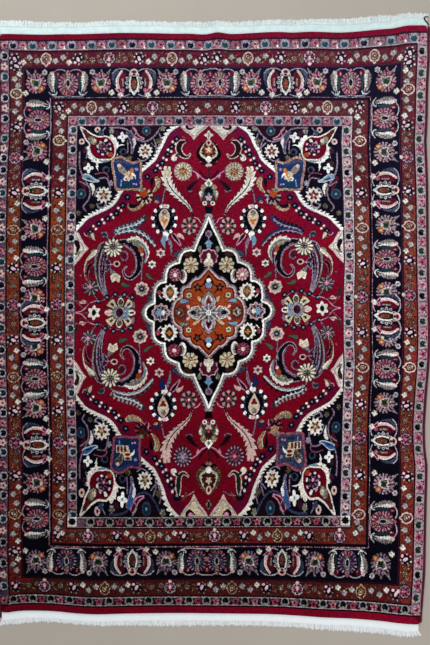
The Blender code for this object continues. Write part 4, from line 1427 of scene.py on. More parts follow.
def scroll_garden(q):
    """Scrolls and leaves between the medallion and the side of the field."""
    pen = q.area(76, 214, 160, 304)
    feather_branches(q, pen)
    long_leaves(pen)
    cream_rosette(pen)
    c_scroll(pen)
    curl_and_bud(pen)
    green_leaves(pen)
    edge_leaves(pen)
    blue_chain(pen)


def cross_axis(sx):
    """Flowers on the axis that runs across the rug, for one side."""
    for sy in (-1, 1):
        pen = QuarterPen(sx, sy, 76, 290, 146, 312.8)
        pen.line(((77, 312.4), (84, 310.6), (91, 303.4), (98, 300.6)), "pink", 0.9)
        pen.shape(((76.5, 300.6), (84.6, 308.6), (92, 303)), None, "rose", 0.8, curved=False)
        # eight-petalled flower
        x, y = 121.4, 312.7
        pen.flower(x, y, 15.2, 8, 0.3, "ivory", phase=0.0)
        pen.rays(x, y, 8.0, 15.6, 4, 0.3, "cream", phase=math.pi)
        pen.rays(x, y, 9.4, 13.4, 8, 0.14, "green", phase=0)
        pen.rays(x, y, 7.0, 12.0, 8, 0.16, "brown", phase=math.pi)
        pen.oval(x - 10.6, y, 3.4, 3.4, "blush")
        pen.oval(x, y - 10.4, 2.6, 3.4, "olive")
        pen.flower(x, y, 8.6, 8, 0.2, "sage")
        pen.flower(x, y, 6.4, 6, 0.2, "lilac")
        pen.oval(x - 0.5, y, 3.6, 4.4, "plum")
        pen.oval(x + 1.4, y, 1.6, 2.0, "dark")
        pen.oval(x + 7.0, y - 3.6, 2.2, 2.4, "sky")
        # small ivory flower by the edge
        x = 95.6
        pen.flower(x, y, 6.6, 6, 0.34, "ivory", squash=1.15)
        pen.oval(x, y, 2.2, 3.2, "green")
        pen.oval(x, y, 1.2, 2.0, "black")
        pen.oval(134.6, 305, 1.6, 3.4, "mauve")
        pen.line(((84, 312.6), (89, 312.6)), "olive", 1.0)


def axis_pen(sy, y, reach, width=None):
    """Pen around a place of the axis that runs along the rug; p is the distance from the axis."""
    return QuarterPen(0, sy, 0, y - reach, width or reach, y + reach, (0.0, y))


def axis_palmette(sy, lower):
    """Large palmette."""
    pen = axis_pen(sy, 151.5, 20, 18)
    body = "olive" if lower else "black"
    for k, (p, q) in enumerate(((12.6, -1.5), (12.4, 4.6), (10.0, 9.6), (9.0, -8.6))):
        pen.leaf(((3, 3), (p * 0.6, q * 0.8 + 0.5), (p, q)), 2.4, "dark")
        pen.leaf(((3.4, 3), (p * 0.62, q * 0.8 + 1.4), (p * 0.98, q + 1.2)), 0.8,
                 "blush" if k % 2 else "grey")
    pen.leaf(((0, 11), (9.8, 4), (7.0, -5.6), (1.4, -11.6)), 3.0, body)
    pen.leaf(((0, 9), (8.0, 3), (6.0, -5.0), (2.0, -10.0)), 1.0, "cream")
    pen.oval(0, -0.8, 5.6, 7.0, "brown")
    pen.flower(0, -0.8, 5.0, 6, 0.3, "terra" if not lower else "brick")
    pen.flower(0, -1.4, 3.2, 5, 0.4, "cream")
    pen.oval(0, -8.6, 2.8, 3.2, "blush")
    pen.oval(0, -8.4, 1.2, 1.8, "wine")
    pen.oval(0, 8.0, 3.0, 3.2, "white")
    pen.leaf(((1.5, 10.5), (5.5, 12.8), (9, 12)), 1.6, "dark")
    pen.oval(0, 14.0, 3.2, 1.7, "camel" if lower else "blush")


def finial_palmette(sy, lower):
    """Stem, diamond and the palmette over the finial."""
    pen = axis_pen(sy, 190, 32, 16)
    pen.line(((0, -23), (0, -12)), "plum", 1.5)
    pen.shape(((0, -11.4), (4.2, -6.2), (0, -1.2), (-4.2, -6.2)), "white", curved=False)
    pen.oval(0, -6.2, 1.5, 1.9, "sage")
    pen.oval(5.4, -2.4, 2.8, 3.0, "camel")
    pen.leaf(((3, 0), (7.4, 5), (7.4, 12)), 2.6, "sage")
    pen.leaf(((7.6, 1.0), (8.4, 4.4), (7, 8)), 1.3, "ivory")
    pen.oval(0, 5.0, 5.0, 8.6, "olive" if lower else "teal")
    pen.oval(0, 1.6, 3.6, 3.6, "brown" if lower else "navy")
    pen.flower(0, 8.0, 3.6, 5, 0.35, "blush")
    pen.oval(0, 5.0, 1.3, 2.4, "rose" if lower else "lilac")
    pen.oval(4.0, 13.4, 2.4, 2.3, "ivory")
    pen.oval(4.0, 13.4, 1.0, 1.0, "dark")
    pen.shape(((-4.6, 17), (4.6, 17), (1.6, 27.5), (-1.6, 27.5)), "black" if lower else "navy",
              curved=False)


def long_axis(sy):
    """Flowers on the axis that runs along the rug, for one end."""
    lower = sy > 0
    pen = axis_pen(sy, 135.4, 7)
    if not lower:
        pen.flower(0, 0, 4.6, 4, 0.45, "ivory")
        pen.oval(0, 0.2, 1.2, 2.6, "sage")
        pen.line(((0, 3), (0, 9)), "pink", 1.6)
    else:
        pen.flower(0, -2, 3.4, 4, 0.4, "sage")
        pen.oval(0, -2, 1.4, 2.0, "dark")
    axis_palmette(sy, lower)
    finial_palmette(sy, lower)


# ---- Medallion ------------------------------------------------------------------------------
# Edges of the upper left quarter, from the middle of the end to the middle of the side.

MEDALLION = ((208.7, 217.4), (204.6, 228), (200.4, 236), (197.4, 243), (194.4, 251))
LOBES = (((194.4, 251), (190, 250.4), (184.4, 252), (181, 256.4), (179.6, 262.6)),
         ((179.6, 262.6), (174, 264.4), (169, 268), (166.6, 274), (166.2, 282)),
         ((166.2, 282), (160.6, 283.4), (156.6, 287.6), (155.2, 294), (155.2, 303.4)),
         ((155.2, 303.4), (150.4, 305.4), (147.2, 309), (146.2, 313)))
DIAMOND = (((208.7, 270.4), (204.6, 275), (200, 280)),
           ((200, 280), (195.6, 281), (192.4, 284), (191.4, 288.6)),
           ((191.4, 288.6), (187.4, 288.4), (184.4, 290.4), (183.6, 294.6), (183.4, 299.6)),
           ((183.4, 299.6), (179.4, 300.6), (176.6, 303.6), (175, 308), (174.6, 313)))


def joined(parts):
    """One line of points through smooth parts that follow on each other."""
    pts = []
    for part in parts:
        pts += [tuple(p) for p in smooth(part)][:-1]
    return pts + [parts[-1][-1]]


def medallion(q):
    """A quarter of the medallion: its toothed edge, dark band and inner diamond."""
    pen = q.area(138, 214, 209, 312.8)
    edge = [tuple(p) for p in smooth(MEDALLION)][:-1] + joined(LOBES)
    body = pen.inside(edge + [(209.5, 313.5), (209.5, 217.4)], curved=False)
    d = np.full(pen.p.shape, FAR_OFF)
    t = np.zeros(pen.p.shape)
    for part in (MEDALLION,) + LOBES:
        dd, tt, _ = pen.trace(part)
        near = dd < d
        d[near] = dd[near]
        t[near] = tt[near]
    tick = (t * 9) % 1.0
    pen.lay(~body & (d < 3.1 + 1.6 * (tick < 0.3)), "dusk")
    pen.lay(~body & (d < 2.7 + 1.2 * (tick < 0.2)), "grey")
    pen.lay(~body & (d < 1.5), "plum")
    for points in (((173.6, 256.6), (178.4, 252.6), (184, 248.8)),
                   ((148, 302.4), (151, 296), (153.6, 289))):
        pen.leaf(points, 1.9, "slate")
    pen.lay(body, "black")
    pen.lay(d < 1.0, "white")
    band_flowers(q, pen)
    inner_diamond(q, pen)


def band_flowers(q, pen):
    """Flowers of the medallion's dark band and the leaf of its finial."""
    pen.oval(188.4, 254.6, 4.6, 2.4, "brown")
    pen.flower(191, 265, 7.8, 9, 0.16, "cream", squash=1.05)
    pen.rays(191, 265, 3.0, 7.0, 9, 0.2, "olive", phase=math.pi)
    pen.flower(191, 266, 3.0, 5, 0.3, "camel")
    pen.oval(183.4, 276.4, 3.6, 6.8, "ivory")
    pen.oval(182.2, 275.6, 2.8, 5.2, "stone")
    pen.oval(181.4, 275.2, 1.8, 4.2, "dark")
    pen.flower(175.2, 275, 6.5, 10, 0.12, q.pick(bottom="rose", other="petal"), squash=1.04)
    pen.rays(175.2, 275, 2.4, 6.2, 10, 0.3, q.pick(top_right="blush", other="madder"))
    pen.flower(175.4, 275, 2.2, 5, 0.3, "ivory")
    pen.flower(170.4, 292.8, 8.4, 12, 0.2, "ivory", squash=1.06)
    core = q.pick(bottom="green", other="olive")
    pen.shape(((170.4, 286), (174.6, 292), (170.4, 299), (166.2, 292)), core)
    pen.flower(170.4, 292.4, 2.8, 4, 0.4, "orange")
    pen.oval(159.6, 293, 1.9, 3.0, "rose")
    pen.line(((159.6, 296), (162, 298.6)), "ivory", 1.0)
    pen.leaf(((200.4, 246), (199.6, 250), (201, 254)), 1.8, "sage")


def inner_diamond(q, pen):
    """The terracotta diamond in the medallion, with its saw-toothed edge and flowers."""
    edge = joined(DIAMOND)
    inner = pen.inside(edge + [(209.5, 313.5), (209.5, 270.4)], curved=False)
    d = np.full(pen.p.shape, FAR_OFF)
    for part in DIAMOND:
        d = np.minimum(d, pen.trace(part)[0])
    saw = ((pen.p + pen.q) * 0.3) % 1.0
    pen.lay(~inner & (d < 4.2 - 1.8 * (saw < 0.5)), "dusk")
    pen.lay(~inner & (d < 3.3 - 1.5 * (saw > 0.55)), "lilac")
    pen.lay(~inner & (d < 1.7 + 0.8 * (saw < 0.4)), "blush")
    pen.lay(~inner & (d < 0.7), "brown")
    pen.lay(inner, "terra")
    pen.lay(inner & (d < 1.0), "rust")
    pen.lay(inner & (pen.p < 187) & (pen.q > 304.5) & (d > 1.6), "tile")
    pen.flower(197.8, 287.6, 4.6, 5, 0.45, "dark", phase=0.6)
    pen.flower(197.8, 287.6, 2.0, 4, 0.4, "olive")
    pen.line(((200.6, 290), (203, 293.4)), "dark", 1.0)
    pen.flower(189.2, 295.4, 3.9, 6, 0.24, "brown")
    pen.flower(189.2, 295.4, 3.0, 6, 0.24, "cream")
    pen.oval(189.2, 295.4, 1.3, 1.3, "moss")
    pen.leaf(((180.6, 301.8), (185.2, 301.0), (190.4, 302.4)), 2.0,
             q.pick(bottom_left="sage", other="sky"), rim="brick")
    upper_bud = ((198.2, 296.4), (200.6, 300.8), (203.8, 305.4))
    lower_bud = ((193.4, 300.8), (198, 304), (203, 307.4))
    bud = upper_bud if "top" in q.key else lower_bud
    pen.leaf(bud, 1.7, "peach", rim="brown")
    pen.leaf(((186.8, 305.6), (189.4, 307.6), (191.2, 310)), 1.3, "blush")


def medallion_ends(sy):
    """Forms on the long axis inside the medallion, for one end."""
    pen = axis_pen(sy, 236, 16, 10)
    pen.oval(0, -2.0, 3.4, 3.6, "mauve")
    pen.oval(0, -2.0, 1.6, 1.7, "dove")
    pen.line(((0, 1), (0, 6)), "lilac", 1.0)
    pen.shape(((0, 3.6), (4.4, 7.6), (2.2, 9), (2.0, 12), (-2.0, 12), (-2.2, 9), (-4.4, 7.6)), "sky",
              curved=False)
    pen = axis_pen(sy, 257.4, 13, 12)
    pen.flower(0, 0, 9.6, 9, 0.14, "pink", squash=0.96)
    pen.flower(0, 0, 8.2, 9, 0.14, "madder", squash=0.96)
    pen.rays(0, 2.0, 2.0, 8.6, 9, 0.22, "wine")
    pen.flower(0, 2.6, 5.0, 3, 0.55, "ivory", squash=1.4)
    pen.shape(((-2.4, 5), (2.4, 5), (4.6, 9.4), (1.4, 8.4), (0, 11), (-1.4, 8.4), (-4.6, 9.4)),
              "cream", curved=False)
    pen = axis_pen(sy, 284, 9, 8)
    pen.shape(((0, -10), (5.0, -2.4), (3.4, 4.6), (-3.4, 4.6), (-5.0, -2.4)), "dark", curved=False)
    pen.oval(0, -3.4, 2.2, 2.4, "white")
    pen.oval(0, 1.4, 3.4, 3.0, "sky")
    pen.leaf(((3.4, -1), (5.6, 0.5), (6.6, 3)), 1.1, "madder")
    pen = axis_pen(sy, 300, 13, 14)
    petals = ((0, -9.0), (3.6, -5.4), (6.6, -1.4), (7.6, 2.6), (5.6, 7.0), (2.4, 11), (-2.4, 11),
              (-5.6, 7.0), (-7.6, 2.6), (-6.6, -1.4), (-3.6, -5.4))
    pen.shape(petals, "fog", "brown", 0.9)
    for s in (-1, 1):
        pen.leaf(((0.6 * s, -7.6), (4.2 * s, -2.6), (5.2 * s, 2.6)), 1.2, "stone")
        pen.leaf(((1.2 * s, 9.6), (4.2 * s, 6), (4.8 * s, 2.2)), 1.3, "mauve")
        pen.leaf(((0.4 * s, -4.6), (2.6 * s, -0.8), (3.0 * s, 3.4)), 0.8, "ivory")
    pen.oval(0, -6.4, 1.2, 1.5, "lilac")
    heart = ((0, -4), (2.4, 0.2), (3.0, 3.2), (0, 8.4), (-3.0, 3.2), (-2.4, 0.2))
    pen.shape(heart, "umber" if sy < 0 else "plum", "pink", 0.7)
    pen.oval(0, 2.4, 1.0, 2.2, "wine" if sy < 0 else "black")


def medallion_sides(sx):
    """Forms on the cross axis inside the medallion, for one side."""
    pens = [QuarterPen(sx, sy, 144, 300, 209, 312.8) for sy in (-1, 1)]
    for pen in pens:
        y = 312.7
        pen.flower(161.6, y, 9.4, 9, 0.2, "blush")
        pen.flower(161.6, y, 7.8, 9, 0.2, "madder")
        pen.rays(161.6, y, 2.0, 8.4, 9, 0.24, "lilac")
        pen.oval(160, y, 3.0, 3.8, "sky")
        pen.oval(164, y, 2.0, 2.4, "ivory")
        pen.flower(180.8, y, 6.4, 8, 0.2, "brick")
        pen.flower(180.8, y, 4.8, 6, 0.25, "sage" if sx > 0 else "olive")
        pen.flower(180.4, y, 2.6, 5, 0.3, "brown")
        pen.oval(179.4, y, 1.0, 1.4, "blush")
        pen.shape(((186.8, y), (191.6, 306.6), (198.6, 305), (204, y), (198.6, 320.4), (191.6, 318.8)),
                  "brown", curved=False)
        pen.shape(((187.8, y), (192.2, 307.6), (198.2, 306), (203, y), (198.2, 319.4), (192.2, 317.8)),
                  "stone", "ivory", 0.9, curved=False)
        pen.leaf(((190, 311), (194, 308.8), (199, 308.4)), 0.9, "fog")
        pen.oval(199.6, y, 2.2, 2.8, "dusk")
        pen.oval(193.6, y, 2.7, 2.3, "black")
        pen.oval(194.4, y, 1.0, 1.2, "green")


def medallion_middle():
    """The star in the very middle."""
    for sx in (-1, 1):
        for sy in (-1, 1):
            pen = QuarterPen(sx, sy, 190, 296, 209, 312.8)
            x, y = 208.7, 312.7
            pen.flower(x, y, 9.0, 8, 0.3, "grey")
            pen.flower(x, y, 8.0, 8, 0.3, "stone")
            pen.rays(x, y, 6.0, 9.0, 4, 0.3, "sage", phase=math.pi)
            pen.rays(x, y, 2.0, 9.4, 8, 0.06, "ice")
            pen.rays(x, y, 4.0, 7.4, 8, 0.10, "dark", phase=math.pi)
            pen.oval(x, y, 2.5, 2.5, "white")
            pen.oval(x, y, 1.3, 1.3, "dusk")
            pen.oval(x, y, 0.6, 0.6, "white")


def paint_field():
    """The field from the corners to the middle; later forms lie over earlier ones."""
    quarters = [Quarter(sx, sy) for sy in (-1, 1) for sx in (-1, 1)]
    for q in quarters:
        spandrel(q)
        lappets(q)
        field_flowers(q)
        scroll_garden(q)
    for sx in (-1, 1):
        cross_axis(sx)
    for sy in (-1, 1):
        long_axis(sy)
    for q in quarters:
        medallion(q)
    for sx in (-1, 1):
        medallion_sides(sx)
    for sy in (-1, 1):
        medallion_ends(sy)
    medallion_middle()
    outline(chart_part(*FIELD))


# ---- Knotted pile ---------------------------------------------------------------------------

PATCH = 8
EDGE_LINES = (0, 1, 2, 3, 4, 6)
STRIPS = 6
PILE_WAVE = 0.00012
BAKE_MARGIN = 3


def patch_lines(count, step, edge_lines):
    """Knot lines of the patches: close together at both edges, where the pile rounds over."""
    inner = range(step, count - step + 1, step)
    return np.array(sorted(set(edge_lines) | set(inner) | {count - k for k in edge_lines}))


def merged_knots(codes, row_lines, column_lines):
    """Rectangles of one yarn inside the patches: rows, columns and code of each."""
    rows, columns = codes.shape
    starts = np.ones((rows, columns), bool)
    starts[:, 1:] = codes[:, 1:] != codes[:, :-1]
    starts[:, column_lines[:-1]] = True
    ends = np.zeros((rows, columns), int)
    following = np.full(rows, columns)
    for column in range(columns - 1, -1, -1):
        ends[:, column] = following
        following = np.where(starts[:, column], column, following)
    carries_on = np.zeros((rows, columns), bool)
    carries_on[1:] = starts[1:] & starts[:-1] & (ends[1:] == ends[:-1]) & (codes[1:] == codes[:-1])
    carries_on[row_lines[:-1]] = False
    heights = np.ones((rows, columns), int)
    for row in range(rows - 2, -1, -1):
        heights[row] = np.where(carries_on[row + 1], heights[row + 1] + 1, 1)
    row, column = np.nonzero(starts & ~carries_on)
    return row, row + heights[row, column], column, ends[row, column], codes[row, column]


def pile_height(row, column, rows, columns):
    """Height of the clipped pile over the floor, by how many knots the edge is away."""
    from_edge = np.minimum(np.minimum(row, rows - row), np.minimum(column, columns - column))
    rounded = np.interp(from_edge, (0, 1, 2, 4),
                        (PILE_RIM, 0.93 * PILE_TOP, 0.985 * PILE_TOP, PILE_TOP))
    wave = np.sin(row / 31.0 + 1.3 * np.sin(column / 57.0))
    wave = wave + np.sin(column / 43.0 + 0.9 * np.sin(row / 71.0))
    return rounded - PILE_WAVE * (1 - wave / 2)


class Surface:
    """Places of knot corners, read straight inside each patch from the patch's four corners."""

    def __init__(self, row_lines, column_lines, rows, columns, height, scale=1):
        self.row_lines, self.column_lines = row_lines, column_lines
        column, row = np.meshgrid(column_lines, row_lines)
        u = LEFT + column * scale / KNOTS_PER_UNIT
        v = TOP + row * scale / KNOTS_PER_UNIT
        x, y = to_rug(u, v)
        z = height(row, column, rows, columns)
        self.grid = np.stack([x, y, np.broadcast_to(z, x.shape)], axis=-1)

    def at(self, row, column):
        r = np.clip(np.searchsorted(self.row_lines, row, "right") - 1, 0, len(self.row_lines) - 2)
        c = np.clip(np.searchsorted(self.column_lines, column, "right") - 1, 0,
                    len(self.column_lines) - 2)
        down = (row - self.row_lines[r]) / (self.row_lines[r + 1] - self.row_lines[r])
        along = (column - self.column_lines[c]) / (self.column_lines[c + 1] - self.column_lines[c])
        down, along = down[:, None], along[:, None]
        upper = self.grid[r, c] * (1 - along) + self.grid[r, c + 1] * along
        lower = self.grid[r + 1, c] * (1 - along) + self.grid[r + 1, c + 1] * along
        return upper * (1 - down) + lower * down


def new_piece(name, points, faces, material, smooth_faces=True):
    """A mesh piece that rides on the rug; faces is an (n, 4) array or a list."""
    mesh = bpy.data.meshes.new(name)
    faces = np.asarray(faces, np.int32)
    mesh.vertices.add(len(points))
    mesh.vertices.foreach_set("co", np.asarray(points, np.float32).ravel())
    mesh.loops.add(faces.size)
    mesh.loops.foreach_set("vertex_index", faces.ravel())
    mesh.polygons.add(len(faces))
    mesh.polygons.foreach_set("loop_start", np.arange(0, faces.size, faces.shape[1], dtype=np.int32))
    mesh.polygons.foreach_set("use_smooth", np.full(len(faces), smooth_faces))
    mesh.update(calc_edges=True)
    mesh.validate()
    mesh.materials.append(material)
    piece = bpy.data.objects.new(name, mesh)
    bpy.context.scene.collection.objects.link(piece)
    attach(piece, "root")
    return piece


# Painted light and haze in the pile's colour: how they change over the rug, as a + b * place + c *
# place squared with place 0 at the far end and 1 at the near end, and d for each width of the rug to
# the right.
PAINTED_HAZE_GAMMA = (0.755, 0.610, -0.240, -0.094)
PAINTED_LIGHT_LEVEL = (0.88, 0.60, -0.72, 0.18)
SIDE_LIGHT = 0.38


def linear(colour):
    """Linear light of an 8-bit display colour."""
    share = np.asarray(colour, float) / 255
    return np.where(share <= 0.04045, share / 12.92, ((share + 0.055) / 1.055) ** 2.4)


YARN_LIGHT = np.array([np.append(linear(YARNS[name]), 1.0) for name in YARN_NAMES])


def dye(mesh, codes):
    """Each face's yarn, as the colour attribute "yarn" on its corners."""
    layer = mesh.color_attributes.new("yarn", "FLOAT_COLOR", "CORNER")
    corners = np.repeat(YARN_LIGHT[codes], 4, axis=0)
    layer.data.foreach_set("color", corners.astype(np.float32).ravel())


def lay_uv(mesh, name, corners):
    """One UV map from an (n, 2) array of corner places."""
    layer = mesh.uv_layers.new(name=name)
    layer.uv.foreach_set("vector", np.ascontiguousarray(corners, np.float32).ravel())


def block_mesh(surface, corner_rows, corner_columns, columns):
    """Points and faces of blocks of knots; blocks that touch share their corner points."""
    keys, faces = np.unique(corner_rows * (columns + 1) + corner_columns, return_inverse=True)
    return surface.at(keys // (columns + 1), keys % (columns + 1)), faces.reshape(-1, 4)


def build_pile(material):
    """The pile, as strips that run across the rug, one face for each block of like knots."""
    row_lines = patch_lines(ROWS, PATCH, EDGE_LINES)
    column_lines = patch_lines(COLUMNS, PATCH, EDGE_LINES)
    surface = Surface(row_lines, column_lines, ROWS, COLUMNS, pile_height)
    r0, r1, c0, c1, code = merged_knots(chart, row_lines, column_lines)
    cuts = [ROWS * k / STRIPS for k in range(STRIPS + 1)]
    limits = [int(row_lines[np.argmin(np.abs(row_lines - cut))]) for cut in cuts]
    pieces = []
    for k in range(STRIPS):
        low, high = limits[k], limits[k + 1]
        held = (r0 >= low) & (r0 < high)
        corner_rows = np.stack([r1, r1, r0, r0], axis=1)[held]
        corner_columns = np.stack([c0, c1, c1, c0], axis=1)[held]
        points, faces = block_mesh(surface, corner_rows, corner_columns, COLUMNS)
        wall_points, wall_codes, wall_rows, wall_columns = pile_walls(surface, low, high)
        wall_faces = len(points) + np.arange(len(wall_points)).reshape(-1, 4)
        piece = new_piece(f"pile_strip_{k + 1}", np.vstack([points, wall_points]),
                          np.vstack([faces, wall_faces]), material)
        mesh = piece.data
        dye(mesh, np.concatenate([code[held], wall_codes]))
        corner_rows = np.concatenate([corner_rows.ravel(), wall_rows])
        corner_columns = np.concatenate([corner_columns.ravel(), wall_columns])
        across = (corner_columns + BAKE_MARGIN) / (COLUMNS + 2 * BAKE_MARGIN)
        down = (high + BAKE_MARGIN - corner_rows) / (high - low + 2 * BAKE_MARGIN)
        lay_uv(mesh, "OFBake", np.stack([across, down], axis=1))
        lay_uv(mesh, "knots", np.stack([corner_columns, -corner_rows], axis=1))
        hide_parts("pile_body")
        pieces.append(piece)
    return pieces


def pile_walls(surface, low, high):
    """The cut face of the pile around the strip's free edges, down to the foundation."""
    points, codes, rows, columns = [], [], [], []

    def add(row_a, column_a, row_b, column_b, out_row, out_column, yarn):
        """One wall face below two knot corners; its foot lies outside the strip on the UV map."""
        top = surface.at(np.array([row_a, row_b]), np.array([column_a, column_b]))
        foot = top.copy()
        foot[:, 2] = FOUNDATION_TOP
        points.extend((foot[0], foot[1], top[1], top[0]))
        codes.append(yarn)
        rows.extend((row_a + out_row, row_b + out_row, row_b, row_a))
        columns.extend((column_a + out_column, column_b + out_column, column_b, column_a))

    lines = surface.row_lines
    for column, step in ((0, -1), (COLUMNS, 1)):
        line = chart[low:high, min(column, COLUMNS - 1)]
        for a, b in zip(*run_ends(line, lines[(lines >= low) & (lines <= high)] - low)):
            ends = (low + a, low + b) if step < 0 else (low + b, low + a)
            add(ends[0], column, ends[1], column, 0, 2 * step, line[a])
    lines = surface.column_lines
    for row, step in ((0, -1), (ROWS, 1)):
        if row not in (low, high):
            continue
        line = chart[min(row, ROWS - 1)]
        for a, b in zip(*run_ends(line, lines)):
            ends = (b, a) if step < 0 else (a, b)
            add(row, ends[0], row, ends[1], 2 * step, 0, line[a])
    return np.array(points), np.array(codes, int), np.array(rows), np.array(columns)


def run_ends(line, lines):
    """Runs of one yarn along an edge, cut at the patch lines too."""
    changes = np.nonzero(np.diff(line.astype(int)))[0] + 1
    cuts = np.unique(np.concatenate([changes, lines]))
    return cuts[:-1], cuts[1:]


# ---- Foundation and back --------------------------------------------------------------------

BACK_SCALE = 2
BACK_PATCH = 16
BACK_LIFT = 0.0002
FOUNDATION_SOLE = 0.0004
FOUNDATION_PATCHES = (24, 18)


def flat_sheet(rows, columns, bottom, top):
    """Closed sheet under the whole pile: points and faces."""
    row_lines = patch_lines(rows, rows // FOUNDATION_PATCHES[0], (0, 4))
    column_lines = patch_lines(columns, columns // FOUNDATION_PATCHES[1], (0, 4))
    surface = Surface(row_lines, column_lines, rows, columns, lambda r, c, n, m: 0.0 * r)
    high, wide = surface.grid.shape[:2]
    upper = surface.grid.reshape(-1, 3) + (0, 0, top)
    lower = surface.grid.reshape(-1, 3) + (0, 0, bottom)
    index = np.arange(high * wide).reshape(high, wide)
    a, b, c, d = index[1:, :-1], index[1:, 1:], index[:-1, 1:], index[:-1, :-1]
    faces = [np.stack([a, b, c, d], axis=-1).reshape(-1, 4)]
    faces.append(faces[0][:, ::-1] + high * wide)
    rim = np.concatenate([index[0, :-1], index[:-1, -1], index[-1, :0:-1], index[:0:-1, 0]])
    after = np.roll(rim, -1)
    faces.append(np.stack([rim, after, after + high * wide, rim + high * wide], axis=-1))
    return np.vstack([upper, lower]), np.vstack(faces)


def build_foundation(material):
    """The warps and wefts that the knots are tied to, one closed sheet under the pile."""
    points, faces = flat_sheet(ROWS, COLUMNS, FOUNDATION_SOLE, FOUNDATION_TOP)
    piece = new_piece("foundation", points, faces, material, smooth_faces=False)
    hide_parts("pile_body")
    return piece


def build_back(plain, material):
    """The knots' backs under the foundation: the same pattern, flatter, coarser and not mottled."""
    codes = np.ascontiguousarray(plain[::BACK_SCALE, ::BACK_SCALE])
    rows, columns = codes.shape
    row_lines, column_lines = (patch_lines(count, BACK_PATCH, (0, 2)) for count in (rows, columns))
    surface = Surface(row_lines, column_lines, rows, columns,
                      lambda r, c, n, m: BACK_LIFT + 0.0 * r, BACK_SCALE)
    r0, r1, c0, c1, code = merged_knots(codes, row_lines, column_lines)
    corner_rows = np.stack([r0, r0, r1, r1], axis=1)
    corner_columns = np.stack([c0, c1, c1, c0], axis=1)
    points, faces = block_mesh(surface, corner_rows, corner_columns, columns)
    piece = new_piece("knotted_back", points, faces, material)
    dye(piece.data, code)
    across, down = corner_columns.ravel(), corner_rows.ravel()
    lay_uv(piece.data, "OFBake", np.stack([across / columns, 1 - down / rows], axis=1))
    lay_uv(piece.data, "knots", BACK_SCALE * np.stack([across, -down], axis=1))
    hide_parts("pile_body")
    return piece


# ---- Overcast sides -------------------------------------------------------------------------

TURN_PITCH = 0.0024
TURN_DEPTH = 0.00055
TURN_SLANT = 0.0016
TURN_JITTER = 0.0002
TURN_UNEVEN = 0.00022
SIDE_CLEARANCE = 0.0001
SELVEDGE_STEPS = 9


def selvedge_route(name):
    """Centre line of a CAD selvedge: places along Y, middle X and half width there."""
    points = node_points(name)
    sole = points[points[:, 2] < 1e-4]
    stations = np.unique(np.round(sole[:, 1], 5))
    rows = [sole[np.abs(sole[:, 1] - y) < LEVEL_MATCH][:, 0] for y in stations]
    low, high = np.array([row.min() for row in rows]), np.array([row.max() for row in rows])
    return stations, (low + high) / 2, (high - low) / 2


def build_selvedge(name, material):
    """Wool yarn wound side by side over the side's warps: each turn is its own ridge."""
    node = f"selvedge_{name}"
    along, middle, half = selvedge_route(node)
    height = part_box(node)[1][2]
    turns = int((along[-1] - along[0]) / TURN_PITCH)
    dice = np.random.default_rng(5)
    stations = along[0] + (along[-1] - along[0]) * np.arange(2 * turns + 1) / (2 * turns)
    stations[1:-1] += dice.uniform(-TURN_JITTER, TURN_JITTER, len(stations) - 2)
    ridge = np.where(np.arange(len(stations)) % 2 == 1, 0.0, TURN_DEPTH)
    ridge = ridge + dice.uniform(0, TURN_UNEVEN, len(stations))
    reach = np.interp(stations, along, half) - SIDE_CLEARANCE
    share = reach / half.max()
    sweep = np.linspace(0, math.pi, SELVEDGE_STEPS)
    across = -np.cos(sweep)[None, :] * (reach - ridge)[:, None]
    up = (height * share - ridge)[:, None] * (0.2 + 0.8 * np.sin(sweep)[None, :] ** 0.8)
    slant = TURN_SLANT * np.cos(sweep)[None, :] * share[:, None]
    x = np.interp(stations, along, middle)[:, None] + across
    y = np.clip(stations[:, None] + slant, along[0], along[-1])
    rounded = np.stack([x, y, up], axis=-1)
    foot = rounded[:, [0, -1]].copy()
    foot[:, :, 2] = FOOT_LIFT
    rings = np.concatenate([foot[:, :1], rounded, foot[:, 1:]], axis=1)
    count = rings.shape[1]
    index = np.arange(len(stations) * count).reshape(len(stations), count)
    following = np.roll(index, -1, axis=1)
    faces = np.stack([index[:-1], following[:-1], following[1:], index[1:]], axis=-1).reshape(-1, 4)
    piece = new_piece(node + "_wrapped", rings.reshape(-1, 3), faces, material)
    turn = np.broadcast_to(np.arange(len(stations))[:, None] / 2, (len(stations), count))
    around = np.tile(np.linspace(0, 1, count), len(stations))
    lay_uv(piece.data, "turns", np.stack([turn.ravel(), around], axis=1)[faces.ravel()])
    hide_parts(node)
    return piece


# ---- Cotton ends ----------------------------------------------------------------------------

WEFT_PITCH = 0.0021
WEFT_RELIEF = 0.00028
WEB_STATIONS = 420
WEB_SWAY = 0.0006
WEB_ROUNDING = 0.0003
# Heights at which the locks of the CAD fringe have their middles and their tips.
LOCK_MIDDLE_LEVEL, LOCK_TIP_LEVEL = 0.0022, 0.0015
# Where the locks start along the end, in lock widths, and how deep they sit in the weave.
FIRST_LOCK, LOCK_SPARE = 0.36, 0.28
ROOT_DEPTH = 0.002
STRANDS_PER_LOCK = 11
STRAND_RADIUS = 0.00104
STRAND_FLOOR = 0.0009
LOWER_LAYER, LAYER_STEP, TIP_LAYER_STEP = 0.0008, 0.0009, 0.0006
STRAND_STEPS = 6
STRAND_SIDES = 4
# How far past its lock a strand ends, by end of the rug, and how much that varies.
TIP_REACH = {1: -0.0010, -1: 0.0035}
TIP_RAGGED = (-0.0030, 0.0040)


def end_edge(end, x):
    """Y of the pile's edge at one end (-1 near, 1 far)."""
    places, across = EDGES["top" if end > 0 else "bottom"]
    reading = np.interp(np.asarray(x) / CHART_UNIT + CHART_ORIGIN[0], places, across)
    return (CHART_ORIGIN[1] - reading) * CHART_UNIT


def level_middles(points, level):
    """Middles of the neighbouring point pairs of a node at one height, from left to right."""
    held = points[np.abs(points[:, 2] - level) < LEVEL_MATCH]
    held = held[np.argsort(held[:, 0])]
    return (held[0::2] + held[1::2]) / 2


